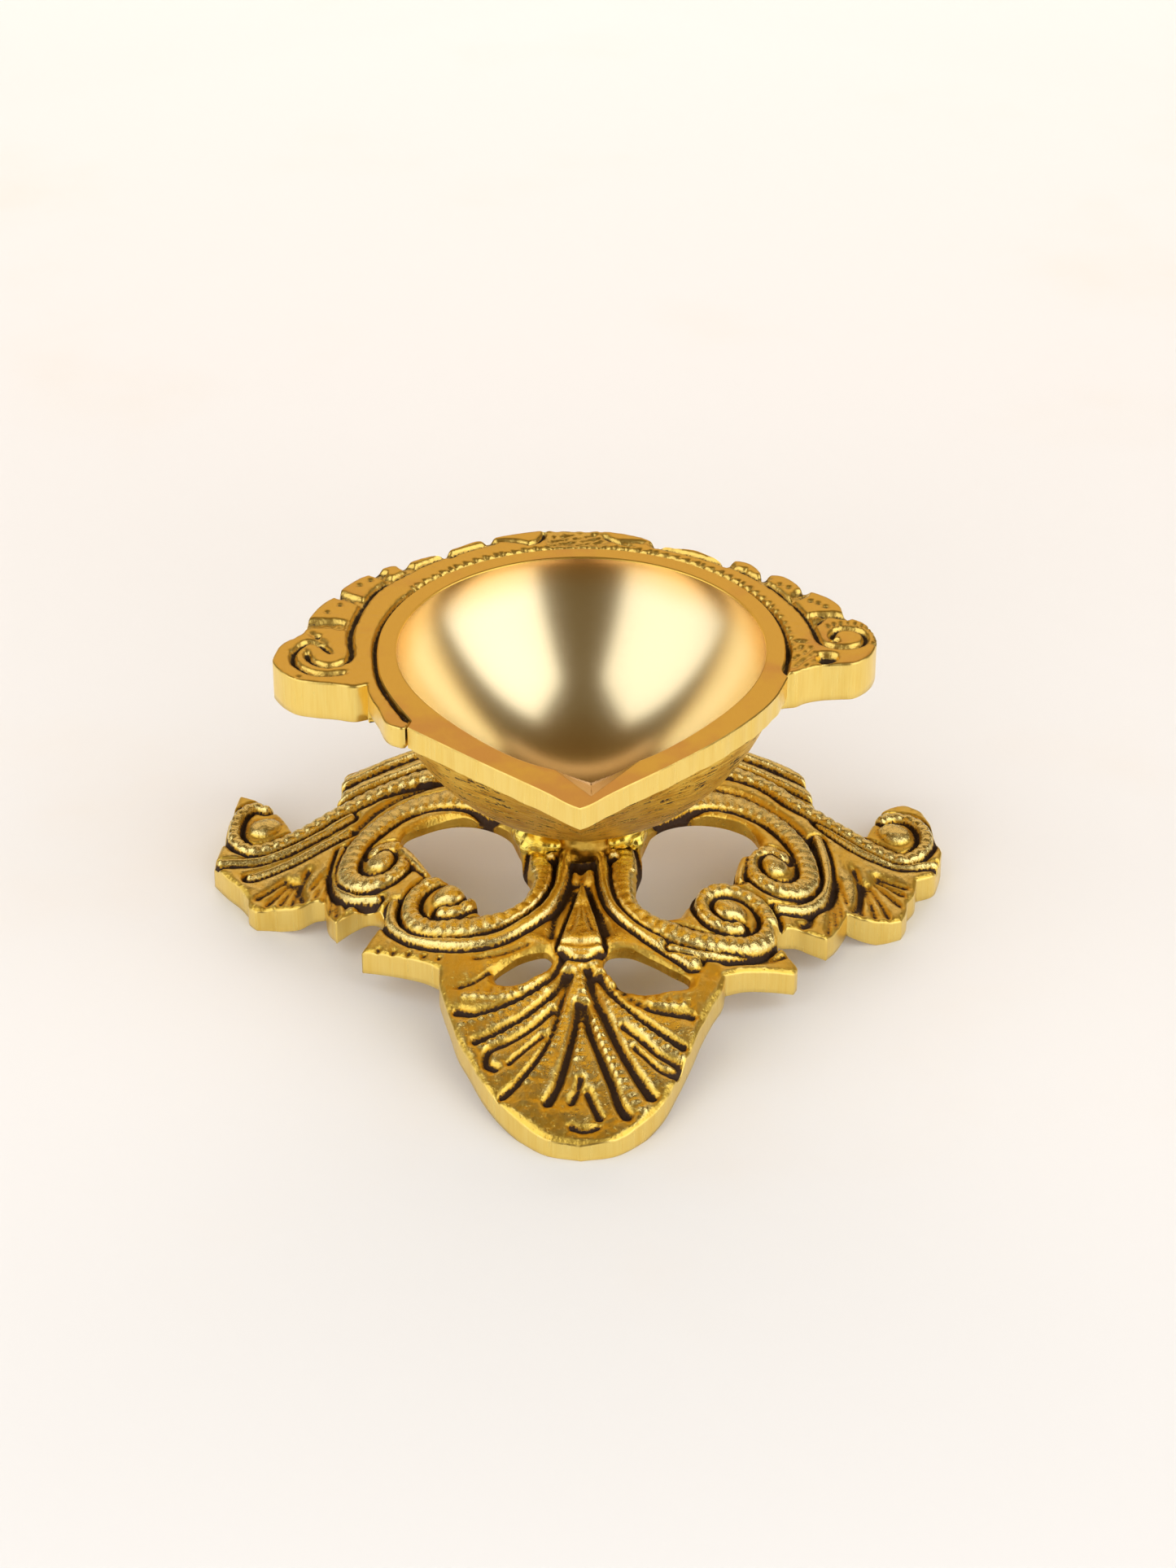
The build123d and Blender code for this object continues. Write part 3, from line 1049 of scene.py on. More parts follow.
    def _stems(self) -> None:
        """Raises the two stems that end in the front volutes, and their smooth outer bands."""
        band, cut = self.relief.band, self.relief.groove
        band([(2.9, -6.4), (3.2, -9.2), (3.6, -13), (4.9, -17.2), (7.6, -20.6), (11.2, -23.4),
              (14.8, -25.8)], (1.0, 1.3), 0.8)
        band([(12, -23.8), (16.5, -24.1), (20.6, -23), (24.2, -20.9), (26, -17.8), (25.9, -15.4)],
             (0.55, 0.6), 0.6)
        band([(-2.4, -6.6), (-2.6, -9.4), (-3.2, -13.4), (-5, -17.6), (-8.2, -20.8), (-12, -22.5),
              (-16, -22.4), (-20.2, -20.8), (-23.8, -17.9), (-25.8, -14.6), (-25.6, -11.2)],
             (1.0, 0.9), 0.8)
        coil = spiral((20.2, -15.1), (6.2, 2.9), (-92, 292))
        band([(5.4, -5.4), (5.9, -8.8), (5.9, -12.2), (6.7, -15.8), (9.2, -19.2), (13.4, -21.3)] + coil,
             (1.85, 0.95), 0.95, 1.6, 0.34)
        coil = spiral((-18.0, -12.7), (6.2, 2.9), (-84, -468))
        band([(-5.2, -5.6), (-5.6, -9), (-5.9, -12.4), (-7.5, -15.8), (-10.6, -18.3), (-14.4, -19.3)] + coil,
             (1.85, 0.95), 0.95, 1.6, 0.34)
        self.relief.dome((20.0, -15.1), (2.3, 2.1), 1.1)
        self.relief.dome((-17.8, -12.6), (2.4, 2.1), 1.1)
        for x, y, size in ((-0.5, -8.3, 1.5), (1.0, -8.2, 1.3), (4.3, -7.6, 0.8), (-3.9, -7.9, 0.8)):
            self.relief.dome((x, y), (size, size), -1.6)
        cut([(0.7, -11.4), (1.7, -16), (3, -19.6), (3.7, -23)], 0.5, 0.9)
        cut([(-0.6, -11), (-1.8, -15), (-3.4, -18.6), (-4.1, -23.4)], 0.55, 0.9)
        cut([(0, -8.6), (0, -13)], 0.55, 0.8)

    def _shoulders(self) -> None:
        """Cuts the leaves between the front volutes and the palmette."""
        cut = self.relief.groove
        cut([(18.4, -25.2), (22, -23.9), (25.4, -22), (28, -20.2)], 0.4, 0.6)
        cut([(-6.4, -23.6), (-10.5, -25.1), (-15, -25.4)], 0.4, 0.5)
        cut([(-11.6, -27.6), (-14.4, -29.6), (-17, -30.2)], 0.4, 0.6)
        self.relief.row((-27.4, -19.7), (2.1, -1.15), 5, (0.5, 0.5), 0.4)
        self.relief.row((-13.6, -31.2), (1.7, -0.2), 5, (0.35, 0.7), 0.2)
        self.relief.row((8.4, -33.1), (1.5, -0.05), 5, (0.35, 0.7), 0.2)
        self.relief.level([(15.6, -26.4), (17.6, -25.8), (18.2, -27.4), (16.6, -28.6)], -0.25)

    def _scrolls(self) -> None:
        """Raises the C-scrolls with their inner volutes and plain outer ridges."""
        band = self.relief.band
        band([(33.2, 7.2), (34, 2.2), (33.9, -3), (32.6, -7.6), (30, -10.4), (26.8, -11.4)],
             (0.75, 0.7), 0.65)
        band([(-33.4, 4.6), (-34.1, -0.4), (-33.2, -5), (-31, -8), (-28, -9)], (0.7, 0.6), 0.65)
        coil = spiral((26.7, -2.7), (5.0, 2.5), (12, -300), 1.12)
        band([(9.6, 4.6), (13.6, 7.6), (17.6, 9.6), (22, 9.9), (26.4, 8.2), (29.8, 4.6), (31.2, 1)]
             + coil[1:], (2.3, 1.0), 0.95, 1.5, 0.32)
        coil = spiral((-27.7, -1.1), (4.9, 2.5), (165, 478), 1.1)
        band([(-11, 5.4), (-15, 8.6), (-19.6, 10.3), (-24.6, 10), (-28.8, 7.2), (-31.6, 3.2)] + coil[1:],
             (2.3, 1.0), 0.95, 1.5, 0.32)
        self.relief.dome((26.6, -2.4), (2.0, 2.3), 1.0)
        self.relief.dome((-27.7, -0.9), (2.1, 2.2), 1.0)
        band([(22.6, 0.2), (22, -3.4), (21.6, -7.2)], (0.8, 0.6), 0.5, moat=0.6)
        band([(-24.6, 0.4), (-23, -2.8), (-21, -6)], (0.8, 0.6), 0.5, moat=0.6)

    def _leaf_fan(self, root: Point, ends: Knots, width: float = 0.4, depth: float = 0.65) -> None:
        """Cuts a fan of veins that spread from one root and start a quarter of the way out."""
        for end in ends:
            start = ((3 * root[0] + end[0]) / 4, (3 * root[1] + end[1]) / 4)
            self.relief.groove([start, end], width, depth)

    def _wings(self) -> None:
        """Raises the beaded bands of the wings with their outer volutes, and the leaf fans."""
        band, cut = self.relief.band, self.relief.groove
        band([(33.4, 11.2), (36.4, 8.6), (40.6, 6.3), (45, 5.3), (49.8, 5.9)], (0.6, 0.6), 0.65)
        band([(-32.8, 12.4), (-36.6, 10.2), (-41, 8), (-46, 6.6), (-50.8, 6.3)], (0.75, 0.6), 0.65)
        band([(-33, 8.6), (-37.6, 6.3), (-42, 4.4), (-46.4, 2.7)], (0.75, 0.6), 0.65)
        coil = spiral((44.9, 13.0), (4.6, 3.2), (-78, 130), 1.3)
        band([(12, 17), (17, 18.2), (22, 18.3), (26.4, 17.2), (30, 14.6), (33.6, 12.8), (37.4, 10.6),
              (41, 8.6)] + coil, (1.6, 0.9), 0.95, 1.6, 0.36)
        band([(-12, 17), (-17, 18), (-22, 17.9), (-26.6, 17.4), (-31.6, 15.8), (-36, 13.8), (-40.2, 11.4),
              (-44, 9.7), (-47.4, 9.7), (-49.2, 12), (-49.5, 15.5), (-48.7, 19), (-46.9, 20.9),
              (-45.2, 20)], (1.6, 0.85), 0.95, 1.6, 0.36)
        self.relief.dome((44.5, 12.7), (2.3, 2.4), 1.1)
        self.relief.dome((-45.2, 14.5), (2.3, 2.3), 1.1)
        fan = self._leaf_fan
        fan((38.9, 3.2), [(45.9, 0.2), (45.3, -1.6), (44.6, -4.4), (42.6, -7.4), (40.6, -8), (38.6, -8)])
        cut([(37.9, 3), (38.8, -2), (37.4, -7.8)], 0.5, 0.8)
        fan((35.1, 1.4), [(36.8, -6.4), (35.8, -9.6), (34.8, -12), (33.6, -14.2)], 0.36, 0.55)
        cut([(31.4, -9.4), (31, -12.6), (29.4, -14)], 0.6, 0.8)
        fan((-38.9, 3.0), [(-45.6, -2.4), (-44, -4.2), (-42, -4.6), (-40.2, -5.2)])
        cut([(-37.9, 2.8), (-39, -1.6), (-38.4, -5.2)], 0.5, 0.8)
        fan((-34.6, 2.4), [(-37.9, -2.8), (-37.1, -5), (-35.8, -7.2), (-34.6, -9.6), (-33.5, -10.8)],
            0.36, 0.55)
        cut([(-32.4, -6.6), (-32.4, -9.8)], 0.35, 0.5)
        self.relief.level([(-30.6, -9.6), (-28.2, -9.9), (-27, -12.2), (-28.6, -12.2)], -0.8, 0.6)

    def _back_band(self) -> None:
        """Raises the plain ridges of the band behind the cup, and deepens the gap below it."""
        band, cut = self.relief.band, self.relief.groove
        for rise, lift in ((26.4, 0.0), (22.6, -0.1)):
            edge = rise - 2.6
            band([(33, edge - 2.2 + lift), (29, edge - 0.6), (22, edge + 0.9), (11, rise), (0, rise + 0.8),
                  (-11, rise + 0.4), (-22, edge + 1.6), (-28, edge + 0.6), (-34.6, edge - 1.6)],
                 (1.1, 1.1), 0.75)
        cut([(0, 14), (8, 14), (16, 13), (20, 13.5), (24, 12.9), (27.4, 11), (30.4, 8.2), (32.8, 5.4)],
            0.85, 1.0)
        cut([(0, 14), (-8, 14.4), (-16, 15.2), (-22, 15.2), (-26.6, 14), (-30, 11.4), (-32.6, 8)],
            0.85, 1.0)

    def carve(self) -> None:
        """Draws all the ornament, then the casting's own roughness."""
        self.relief = Relief((-54, -60), (54, 33), self.pitch, valley=0.36)
        self._back_band()
        self._wings()
        self._scrolls()
        self._stems()
        self._shoulders()
        self._palmette()
        self.relief.height = np.maximum(self.relief.blurred(self.relief.height, 0.1), -1.7)
        self.ornament = self.relief.height.copy()
        self.thinning = np.zeros_like(self.relief.height)
        for number, loop in enumerate(self.loops()):
            self.relief.round_edge(loop, self.inner_round if number else self.outer_round)
            if number:
                box, distance, _ = self.relief.near(np.vstack([loop, loop[:1]]), self.thin_reach)
                share = np.clip(1 - distance / self.thin_reach, 0, 1)
                self.thinning[box] = np.maximum(self.thinning[box], self.thin_lift * share)
        thick = self.middle_thick - self.thinning
        self.relief.height = np.maximum(self.relief.height, self.edge_least - thick)
        self.relief.roughen(3.0, 0.04, seed=3)
        self.relief.roughen(0.9, 0.025, seed=4)
        self.relief.roughen(0.45, 0.022, seed=5)

    def build(self) -> bpy.types.Object:
        """Makes the stand's mesh and dresses it.

        Returns:
            The piece that stands for the CAD stand.
        """
        self.carve()
        plate = CastPlate(self.loops(), self.top, self.under)
        mesh = plate.build("stand_casting")
        relief = self.relief
        # hollow darkens the hollows with patina and with painted orange-brown shade
        hollow = relief.read(relief.hollows(self.ornament, (1.3, 0.85), (0.5, 0.45)), plate.plan)
        draw_on(mesh, "hollow", hollow + self.wall_dirt_and_shade * plate.cast_wall)
        # crest marks the high spots and edges, where the paler tint is partly worn polish and partly a
        # painted highlight
        ridges = np.clip((relief.height - relief.blurred(relief.height, 0.9)) / 0.45, 0, 1)
        plateaus = np.clip((relief.height - relief.blurred(relief.height, 2.5)) / 0.35, 0, 1)
        draw_on(mesh, "crest", relief.read(0.7 * ridges + 0.5 * plateaus, plate.plan))
        return add_piece(
            "stand_casting",
            mesh,
            [AgedCastingWithPaintedLight("aged_casting_with_painted_light").make(), GroundEdge("ground_edge").make(),
             FiledCasting("cast_underside", (0.90, 0.64, 0.17), (0.72, 0.46, 0.08)).make()],
            "stand",
        )


class CupFace(Enum):
    """The kinds of surface on the cup, in the order of its material slots."""

    INSIDE = 0
    RIM = 1
    EDGE = 2
    OUTSIDE = 3


@dataclass
class OilBowl:
    """The bowl casting: the pointed cup with its rim and notch, and the crest round its back."""

    rim: float = field(init=False)
    bottom: float = field(init=False)
    inner_radius: float = 24.8
    inner_tip: float = 31.9
    inner_depth: float = 21.5
    inner_round: float = 1.3
    point_width: float = 28.5
    point_sharpness: float = 1.75
    edge_gap: float = 0.22
    rim_radius: float = 27.45
    outer_radius: float = 27.4
    outer_round: float = 1.75
    outer_shrink: float = 0.9076
    keel: float = 0.44
    lip_thick: float = 3.2
    crest_thick: float = 5.7
    crest_from: Point = (69.0, 79.0)
    crest_over: float = 5.0
    notch_apex: float = 37.9
    notch_fall: float = 0.36
    notch_slope: float = 0.50
    notch_x: float = 1.3
    notch_from: float = -24.0
    notch_deepest: float = 4.0
    cup_sharp: float = 16.0
    crest_sharp: float = 50.0
    spout_spread: float = 42.0
    turn: int = 480
    relief: Relief = field(init=False)

    def __post_init__(self) -> None:
        """Takes the rim and bottom levels from the frame."""
        low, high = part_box("oil_bowl")
        self.rim = high.z / MM
        self.bottom = low.z / MM

    def _bearings(self) -> Array:
        """Angles from the front, positive to the right, closer together near the spout."""
        share = np.linspace(-1, 1, self.turn, endpoint=False)
        return np.sign(share) * np.abs(share) ** 1.5 * math.pi

    def _rim_line(self) -> Array:
        """The rim's outer edge in plan: the lip's two straight sides, then round the back."""
        back = [self._at(math.radians(turn), self.rim_radius) for turn in range(80, 262, 10)]
        return cornered_loop(
            [
                [(-22.6, -21.1), (-12, -30.5), (-4, -37.4), (-0.9, -40.3), (-0.1, -40.8)],
                [(0.7, -40.3), (3.4, -37.7), (10.9, -31.0), (16.4, -25.7),
                 (20.9, -20.6), (25.4, -13.8), (27.5, -8.0)],
                [(26.9, -7.0), (26.75, -6.0)],
                back + [(-27.4, -0.6), (-27.2, -4.5), (-26.3, -9.7),
                 (-24.9, -13.6), (-23.6, -16.5), (-22.1, -19.5)],
                [(-22.6, -21.1)],
            ],
            0.25,
        )

    @staticmethod
    def _at(bearing: float, reach: float) -> Point:
        """The plan point at a bearing from the front, positive to the right."""
        return reach * math.sin(bearing), -reach * math.cos(bearing)

    def rim_reach(self, bearing: Array) -> Array:
        """Distance from the axis to the rim's outer edge."""
        line = self._rim_line()
        turned = np.arctan2(line[:, 0], -line[:, 1])
        order = np.argsort(turned)
        reach = np.hypot(*line.T)[order]
        return np.interp(bearing, turned[order], reach, period=2 * math.pi)

    def _inner(self, bearing: Array, depth: float) -> Array:
        """Distance from the axis to the cup's inside, at a share of its depth."""
        radius = self.inner_radius * math.sqrt(1 - depth**self.inner_round)
        reach = (self.inner_tip / self.inner_radius - 1) * (1 - depth) ** 0.9
        point = np.exp(-((np.abs(np.degrees(bearing)) / self.point_width) ** self.point_sharpness))
        return radius * (1 + reach * point)

    def _outer(self, bearing: Array, depth: Array) -> Array:
        """Distance from the axis to the cup's outside, at a share of its height."""
        radius = self.outer_radius * np.sqrt(1 - self.outer_shrink * depth**self.outer_round)
        tip = radius * (1 + self.keel * (1 - depth) ** 1.6)
        half = np.arccos(np.clip(radius / tip, 0, 1))
        return radius / np.cos(np.maximum(half - np.abs(bearing), 0))

    def _slab(self, bearing: Array) -> Array:
        """Thickness of the rim's edge: the lip in front, and the crest's root behind."""
        turned = np.degrees(bearing)
        side = np.where(turned > 0, self.crest_from[1], self.crest_from[0])
        share = np.clip((np.abs(turned) - side) / self.crest_over, 0, 1)
        return self.lip_thick + (self.crest_thick + 0.1 - self.lip_thick) * share

    def _notched(self, ring: Array) -> Array:
        """Cuts the V notch of the spout into a ring of points."""
        floor = self.rim - self.notch_fall * (ring[:, 1] + self.notch_apex)
        lean = ring[:, 0] - self.notch_x
        near = ring[:, 1] < self.notch_from
        cut = np.maximum(floor + self.notch_slope * np.abs(lean), self.rim - self.notch_deepest)
        ring[:, 2] = np.where(near, np.minimum(ring[:, 2], cut), ring[:, 2])
        return ring

    def cup(self) -> bpy.types.Object:
        """Makes the cup with its rim.

        Returns:
            The piece.
        """
        bearing = self._bearings()
        edge, lip, slab = self._inner(bearing, 0.0), self.rim_reach(bearing), self._slab(bearing)
        total = self.rim - self.bottom
        waver = 0.06 * np.sin(bearing * 23) + 0.05 * np.sin(bearing * 57 + 1)
        gap = self.edge_gap
        rings: list[tuple[Array, Array, float, CupFace]] = []
        for depth in np.sin(np.linspace(math.pi / 2, 0, 64)) ** 1.3 * 0.999:
            level = self.rim - gap - (self.inner_depth - gap) * depth
            rings.append((self._inner(bearing, depth), level, 1 - depth, CupFace.INSIDE))
        rings.append((edge + 0.07, self.rim - 0.07, 1.0, CupFace.RIM))
        for share in np.linspace(0, 1, 36):
            reach = edge + gap + (lip - 0.16 - edge - gap) * share
            rings.append((reach, self.rim, 1.0, CupFace.RIM))
        for share in (0.04, 0.10, 0.25, 0.45, 0.65, 0.85, 0.97):
            reach = lip + waver * min(share * 4, 1)
            rings.append((reach, self.rim - slab * share, 1.0, CupFace.EDGE))
        rings.append((lip + waver - 0.2, self.rim - slab, 1.0, CupFace.OUTSIDE))
        for share in np.linspace(0, 1, 44) ** 1.15:
            depth = slab / total + (1 - slab / total) * share
            reach = np.minimum(self._outer(bearing, depth), lip - 0.3)
            rings.append((reach, self.rim - total * depth, 0.0, CupFace.OUTSIDE))
        count = len(bearing)
        layers = [
            self._notched(
                np.column_stack([reach * np.sin(bearing), -reach * np.cos(bearing), level + 0 * reach])
            )
            for reach, level, _, _ in rings
        ]
        points = np.vstack(layers + [[[0, 0, self.rim - self.inner_depth]], [[0, 0, self.bottom]]])
        faces, slots = [], []
        for number, ring in enumerate(rings[1:]):
            faces += joined(number * count, (number + 1) * count, count).tolist()
            slots += [ring[3].value] * count
        middle, foot, last = len(points) - 2, len(points) - 1, (len(rings) - 1) * count
        faces += [[middle, i, (i + 1) % count] for i in range(count)]
        faces += [[foot, last + (i + 1) % count, last + i] for i in range(count)]
        slots += [CupFace.INSIDE.value] * count + [CupFace.OUTSIDE.value] * count
        mesh = smooth_mesh("oil_cup", points, faces)
        mesh.polygons.foreach_set("material_index", np.array(slots, np.int32))
        mesh.set_sharp_from_angle(angle=math.radians(self.cup_sharp))
        # level and spout are the masks of the painted shade: warmer near the rim and the bottom, and reddish
        # near the spout
        levels = np.repeat([ring[2] for ring in rings], count)
        draw_on(mesh, "level", np.append(levels, [0, 0]))
        front = np.exp(-((np.tile(bearing, len(rings)) / math.radians(self.spout_spread)) ** 2))
        draw_on(mesh, "spout", np.append(front * np.clip(levels * 1.6 - 0.35, 0, 1), [0, 0]))
        return add_piece(
            "oil_cup",
            mesh,
            [BrushedBowl("brushed_bowl").make(), GroundRim("ground_rim").make(),
             GroundEdge("ground_lip").make(), FiledCasting("filed_casting").make()],
            "oil_bowl",
        )

    def _crest_edge(self) -> list[Knots]:
        """The crest's outer edge, from its right end round the back to the lip's left corner."""
        return [
            [(27.2, -6.9), (28.7, -6.6), (29.7, -5.8), (32, -4.9), (34.4, -4.6), (36.6, -4.3),
             (37.8, -3.3), (38.95, -1.6), (39.5, 0), (39.8, 2), (39.4, 4.3), (38.2, 6.7), (36.3, 8.0)],
            [(35.7, 9.1), (35.4, 11), (33.95, 13.4), (32, 15), (30.5, 15.7)],
            [(29.3, 18), (27.4, 19.8), (26.1, 19.9), (25.0, 19.4)],
            [(24.6, 21.3), (22.5, 23.7), (21.2, 23.9), (20.2, 23.2)],
            [(19.2, 24.4), (17.6, 25.8), (16.6, 26.7), (13, 27.9), (10.4, 28.9)],
            [(9.2, 30.3), (8.2, 31.0), (5.6, 32.0), (3.5, 32.6), (0.6, 33.1),
             (-2.4, 33.2), (-5.1, 32.9)],
            [(-7.4, 32.4), (-9.4, 31.8), (-12.2, 30.8), (-13.4, 29.8)],
            [(-15.1, 29.5), (-16.7, 28.4), (-18.4, 27.2), (-19.2, 26)],
            [(-21.4, 25.2), (-23.7, 23.8), (-25, 22.6)],
            [(-26.3, 22.5), (-28.2, 21.2), (-28.8, 20.4)],
            [(-30, 19.6), (-32, 17.4), (-33.1, 15.6), (-33.3, 14.4)],
            [(-35.1, 12.3), (-36.7, 8.8), (-37.2, 7), (-37.2, 5.2)],
            [(-37.7, 3.6), (-39.2, 2.1), (-40.4, 0.6), (-41, -1.6), (-41.2, -4.0),
             (-40.6, -5.4), (-39.6, -7), (-38, -8.5), (-35.6, -9.3), (-32.7, -9.8), (-29.8, -10.4),
             (-28.3, -9.8)],
            [(-28.2, -11.2), (-26.6, -16.1), (-24.6, -20.6), (-23.4, -21.2)],
            [(-22.6, -21.0)],
        ]

    def crest_loop(self) -> Array:
        """The crest's whole outline; its inner side lies under the groove beside the rim."""
        edge = cornered_loop(self._crest_edge(), 0.25)
        bearing = np.radians(np.arange(-49.0, -285.2, -0.6))
        bearing = np.where(bearing < -math.pi, bearing + 2 * math.pi, bearing)
        reach = self.rim_reach(bearing) - 0.22
        inner = np.column_stack([reach * np.sin(bearing), -reach * np.cos(bearing)])
        return np.vstack([edge, inner])

    def _carve_band(self) -> None:
        """Cuts the grooves on both sides of the hatched band, and its hatching."""
        cut = self.relief.groove
        rim = [self._at(math.radians(turn), self.rim_radius + 0.25) for turn in range(84, 262, 8)]
        cut(rim + [(-27.7, -0.6), (-27.4, -4.5), (-26.5, -9.7), (-25.1, -13.6), (-23.8, -16.5),
                   (-22.5, -19.4)], 0.42, 1.0)
        cut([(26.95, -7.2), (27.5, -3.6), (27.7, 0.6)], 0.42, 1.0)
        cut([(10.6, 28.2), (14.6, 26.3), (18, 24.4), (21.2, 22.2), (24, 19.5), (26.6, 16.2), (28.5, 12.9),
             (30.1, 9.6), (31, 7), (31.6, 4.1), (32, 2.2), (33, 0.7), (34.4, 0.1), (36.4, 0.1),
             (37.9, 1.1), (38.4, 2.8), (37.8, 4.3), (36.3, 5.0), (34.9, 4.9), (34, 3.9), (33.8, 2.4)],
            0.42, 1.05)
        cut([(-12.6, 29.3), (-16.6, 27), (-20, 24.8), (-22.9, 22.3), (-24.6, 20.3), (-27, 17.7),
             (-28.4, 15.5), (-29.7, 12.2), (-30.6, 8.4), (-31.2, 4.6), (-31.1, 1.2), (-30.8, -1.6),
             (-31.3, -3.5), (-32.5, -4.6), (-33.9, -5), (-35.3, -4.3), (-36.4, -2.9), (-36.9, -0.9)],
            0.45, 1.1)
        for turn in range(88, 236, 3):
            x, y = self._at(math.radians(turn + (turn * 7 % 5) * 0.3), self.rim_radius + 0.95)
            self.relief.dome((x, y), (0.42, 0.36), -0.32)

    def _part_pads(self, gaps: Sequence[Knots], marks: Knots) -> None:
        """Sinks the gaps between the crest's pads, and the punch marks on them."""
        for outline in gaps:
            self.relief.level(outline, -0.75, 0.35)
        for place in marks:
            self.relief.dome(place, (0.45, 0.4), -0.4)

    def _speckle(self, count: int, corner: Point, size: Point, mark: Point, depth: float) -> None:
        """Scatters punch marks evenly over a small panel.

        Args:
            count: How many there are.
            corner: The panel's lowest corner.
            size: Its width and length.
            mark: A mark's half width and half length.
            depth: How deep the marks are.
        """
        for step in range(count):
            x, y = (low + (step * share % 1) * wide for low, share, wide in zip(corner, SCATTER, size))
            self.relief.dome((x, y), mark, -depth)

    def _carve_left(self) -> None:
        """Cuts the left scroll and the pads behind it."""
        cut = self.relief.groove
        cut([(-31.2, -6.6), (-33.7, -7.2), (-35.6, -6.9), (-37.2, -5.7), (-38.4, -3.8), (-38.6, -1.6),
             (-37.9, 0.1), (-36.8, 1.3), (-35.6, 1.2), (-34.4, -0.2), (-33.5, -1.5)], 0.42, 1.1)
        cut([(-37.6, 5.2), (-35.6, 5.7), (-33.7, 5.6), (-32.2, 4.9)], 0.4, 0.9)
        cut([(-36.9, 4.2), (-35.4, 2.4), (-33.9, 0.2)], 0.5, 0.4)
        gaps = [
            [(-37.4, 5.6), (-37.2, 7.3), (-34.6, 7.4), (-32, 6.8), (-32, 5.5), (-34.6, 6)],
            [(-33.7, 13.8), (-33.3, 15.4), (-31.6, 14.2), (-29.9, 12.9), (-30.2, 11.8), (-32, 12.8)],
            [(-29.2, 20.2), (-28, 21.4), (-26.6, 19.6), (-25.6, 18.8), (-26.4, 18), (-27.6, 19)],
            [(-25.4, 22.6), (-24.6, 23.3), (-23, 22), (-23.6, 21.2)],
            [(-19.6, 26.2), (-18.6, 26.8), (-17.6, 25.6), (-18.4, 25)],
            [(-13.8, 30), (-12.8, 30.6), (-12, 29.2), (-12.8, 28.8)],
        ]
        marks = [(-34.6, 9.4), (-33, 11.4), (-30.6, 17), (-29.2, 18.4), (-35.5, 3), (-27.2, 20.8)]
        self._part_pads(gaps, marks)
        for step in range(9):
            x, y = self._at(math.radians(-104 + step * 5.2), 39.6 - step * 0.25)
            self.relief.dome((x, y), (0.5, 0.32), -0.22)

    def _carve_right(self) -> None:
        """Cuts the right scroll and the pads behind it."""
        cut = self.relief.groove
        cut([(30.8, 8.4), (32, 8.9), (33.2, 8.8), (32.3, 7.2), (31.7, 6)], 0.42, 0.85)
        self.relief.dome((34.2, 1.9), (0.7, 0.7), -1.1)
        for step in range(12):
            turn = math.radians(128 - step * 14)
            x, y = 35.9 + 3.5 * math.cos(turn), 2.6 + 3.3 * math.sin(turn)
            far_x, far_y = 35.9 + 4.4 * math.cos(turn), 2.6 + 4.2 * math.sin(turn)
            cut([(x, y), (far_x, far_y)], 0.24, 0.42, 0.2)
        self.relief.level([(32.2, -1.6), (34.2, -2.1), (34, -3.4), (32.2, -4.2), (31.6, -3)], -1.5, 0.35)
        cut([(28.2, 1.6), (30.6, 1.5)], 0.3, 0.4)
        gaps = [
            [(34.2, 9.4), (35.9, 8.6), (36.4, 7.6), (34.6, 8.0), (33, 9.0)],
            [(29.0, 14.6), (30.8, 16.1), (31.2, 15.0), (29.8, 13.2), (28.9, 12.8)],
            [(24.2, 19.0), (25.2, 20.2), (26.1, 19.2), (25.2, 18.2)],
            [(19.4, 23), (20.3, 24), (21.4, 23), (20.6, 22.2)],
            [(9.6, 28.8), (10.4, 29.6), (11.4, 28.4), (10.6, 27.8)],
        ]
        marks = [(32.4, 12), (33.4, 11), (27.4, 17.2), (28.6, 16.4), (22.8, 21.6), (31.4, 12.6)]
        self._part_pads(gaps, marks)
        self._speckle(26, (28.4, -5.4), (3.0, 5.6), (0.4, 0.3), 0.28)

    def _carve_back(self) -> None:
        """Cuts the leaves and the small panel in the middle of the back."""
        cut = self.relief.groove
        cut([(-5.2, 32.9), (-5.4, 31.4), (-6.2, 29.8), (-7.4, 28.8)], 0.4, 0.9)
        cut([(2.6, 32.4), (3.6, 30.8), (5.2, 29.4), (7.4, 28.4)], 0.36, 0.7)
        cut([(-12.2, 29.9), (-9.4, 29.8), (-7, 28.9)], 0.35, 0.5)
        cut([(9.4, 29.3), (7.2, 29.6), (5.2, 29.9)], 0.35, 0.5)
        self.relief.level([(-4.8, 32.4), (-4.4, 29), (0, 28.6), (3.6, 29.2), (2.2, 32.2)], -0.4, 0.5)
        self._speckle(30, (-4.4, 28.8), (7.4, 3.2), (0.45, 0.35), 0.26)

    def _crest_under(self, plan: Array) -> Array:
        """Height of the crest's underside, thinner where its left end runs along the lip."""
        share = np.clip((-10.6 - plan[:, 1]) / 0.5, 0, 1) * (plan[:, 0] < 0)
        return self.rim - self.crest_thick + (self.crest_thick - self.lip_thick) * share

